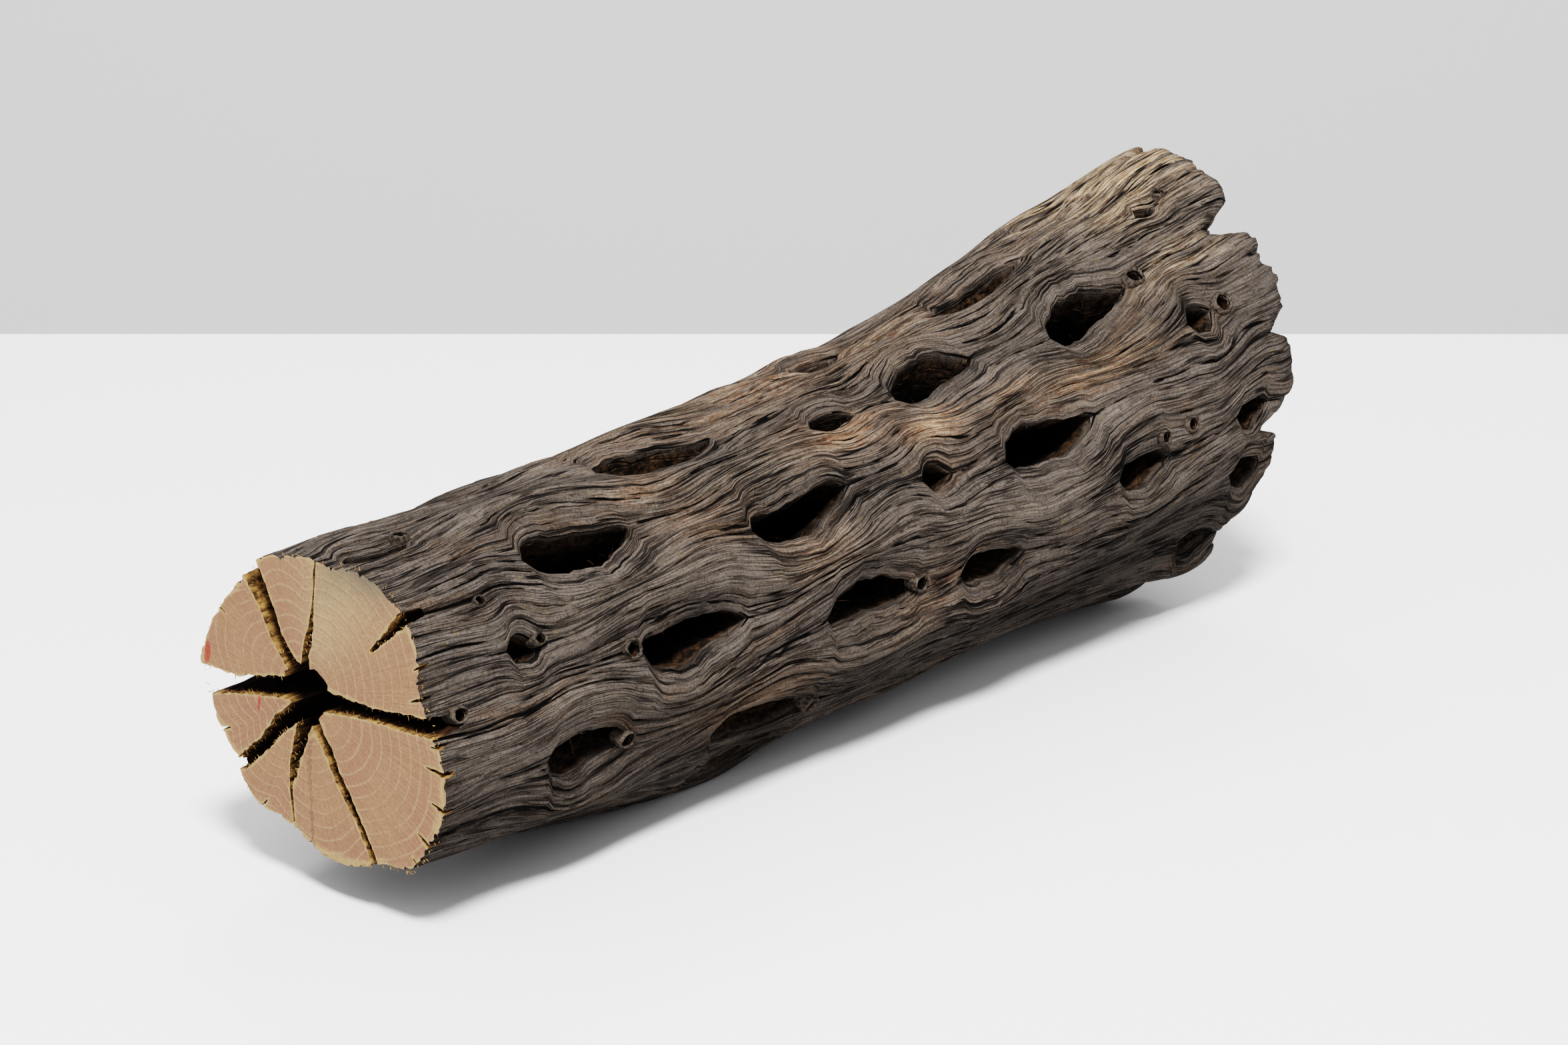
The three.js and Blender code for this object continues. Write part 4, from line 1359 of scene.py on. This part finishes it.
def build_stage():
    camera_at = to_frame(CAMERA_AT)
    towards = np.array([CAMERA_TOWARDS[0], CAMERA_TOWARDS[1], 0.0])
    towards /= np.linalg.norm(towards)
    aside = np.array([-towards[1], towards[0], 0.0])
    foot = np.array([camera_at[0], camera_at[1], 0.0])

    def flat_object(name, near, far, material):
        """A rectangle between two edges across the view, each a distance and a height."""
        sides = ((near, 1), (near, -1), (far, -1), (far, 1))
        corners = [
            foot + towards * distance + aside * side * STAGE_HALF + np.array([0, 0, height])
            for (distance, height), side in sides
        ]
        made = mesh_object(name, [tuple(corner) for corner in corners], [(0, 1, 2, 3)], [material])

    table = plain_material("table_white", (236, 236, 236), 0.55)
    wall = plain_material("wall_grey", (226, 224, 222), 0.9)
    back = TABLE_FAR + WALL_BEHIND
    flat_object("table_top", (TABLE_NEAR, 0.0), (TABLE_FAR, 0.0), table)
    flat_object("back_wall", (back, WALL_LOW), (back, WALL_HIGH), wall)


def build_camera():
    data = bpy.data.cameras.new("view_camera")
    data.sensor_width = SENSOR
    data.lens = SENSOR * FOCAL_PIXELS / IMAGE_WIDTH
    data.clip_start, data.clip_end = 0.01, 20
    camera = bpy.data.objects.new("view_camera", data)
    bpy.context.scene.collection.objects.link(camera)
    camera.location = Vector(to_frame(CAMERA_AT).tolist())
    camera.rotation_euler = Vector(CAMERA_TOWARDS).to_track_quat("-Z", "Y").to_euler()
    bpy.context.scene.camera = camera


def build_lights():
    world = bpy.data.worlds.new("studio")
    bpy.context.scene.world = world
    world.use_nodes = True
    background = world.node_tree.nodes["Background"]
    background.inputs[0].default_value = colour(*SKY)
    background.inputs[1].default_value = SKY_STRENGTH
    for name, location, target, size, power, tone in LIGHTS:
        data = bpy.data.lights.new(name, "AREA")
        data.shape = "DISK"
        data.size = size
        data.energy = power
        data.color = tone
        light = bpy.data.objects.new(name, data)
        bpy.context.scene.collection.objects.link(light)
        light.location = location
        light.rotation_euler = (Vector(target) - Vector(location)).to_track_quat("-Z", "Y").to_euler()


build_stage()
build_camera()
build_lights()
for piece in build_wood():
    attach(piece, "root")
    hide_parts("cholla_wood")

bpy.context.scene.view_settings.view_transform = "Filmic"
bpy.context.scene.view_settings.look = "Very High Contrast"
bpy.context.scene.view_settings.exposure = EXPOSURE
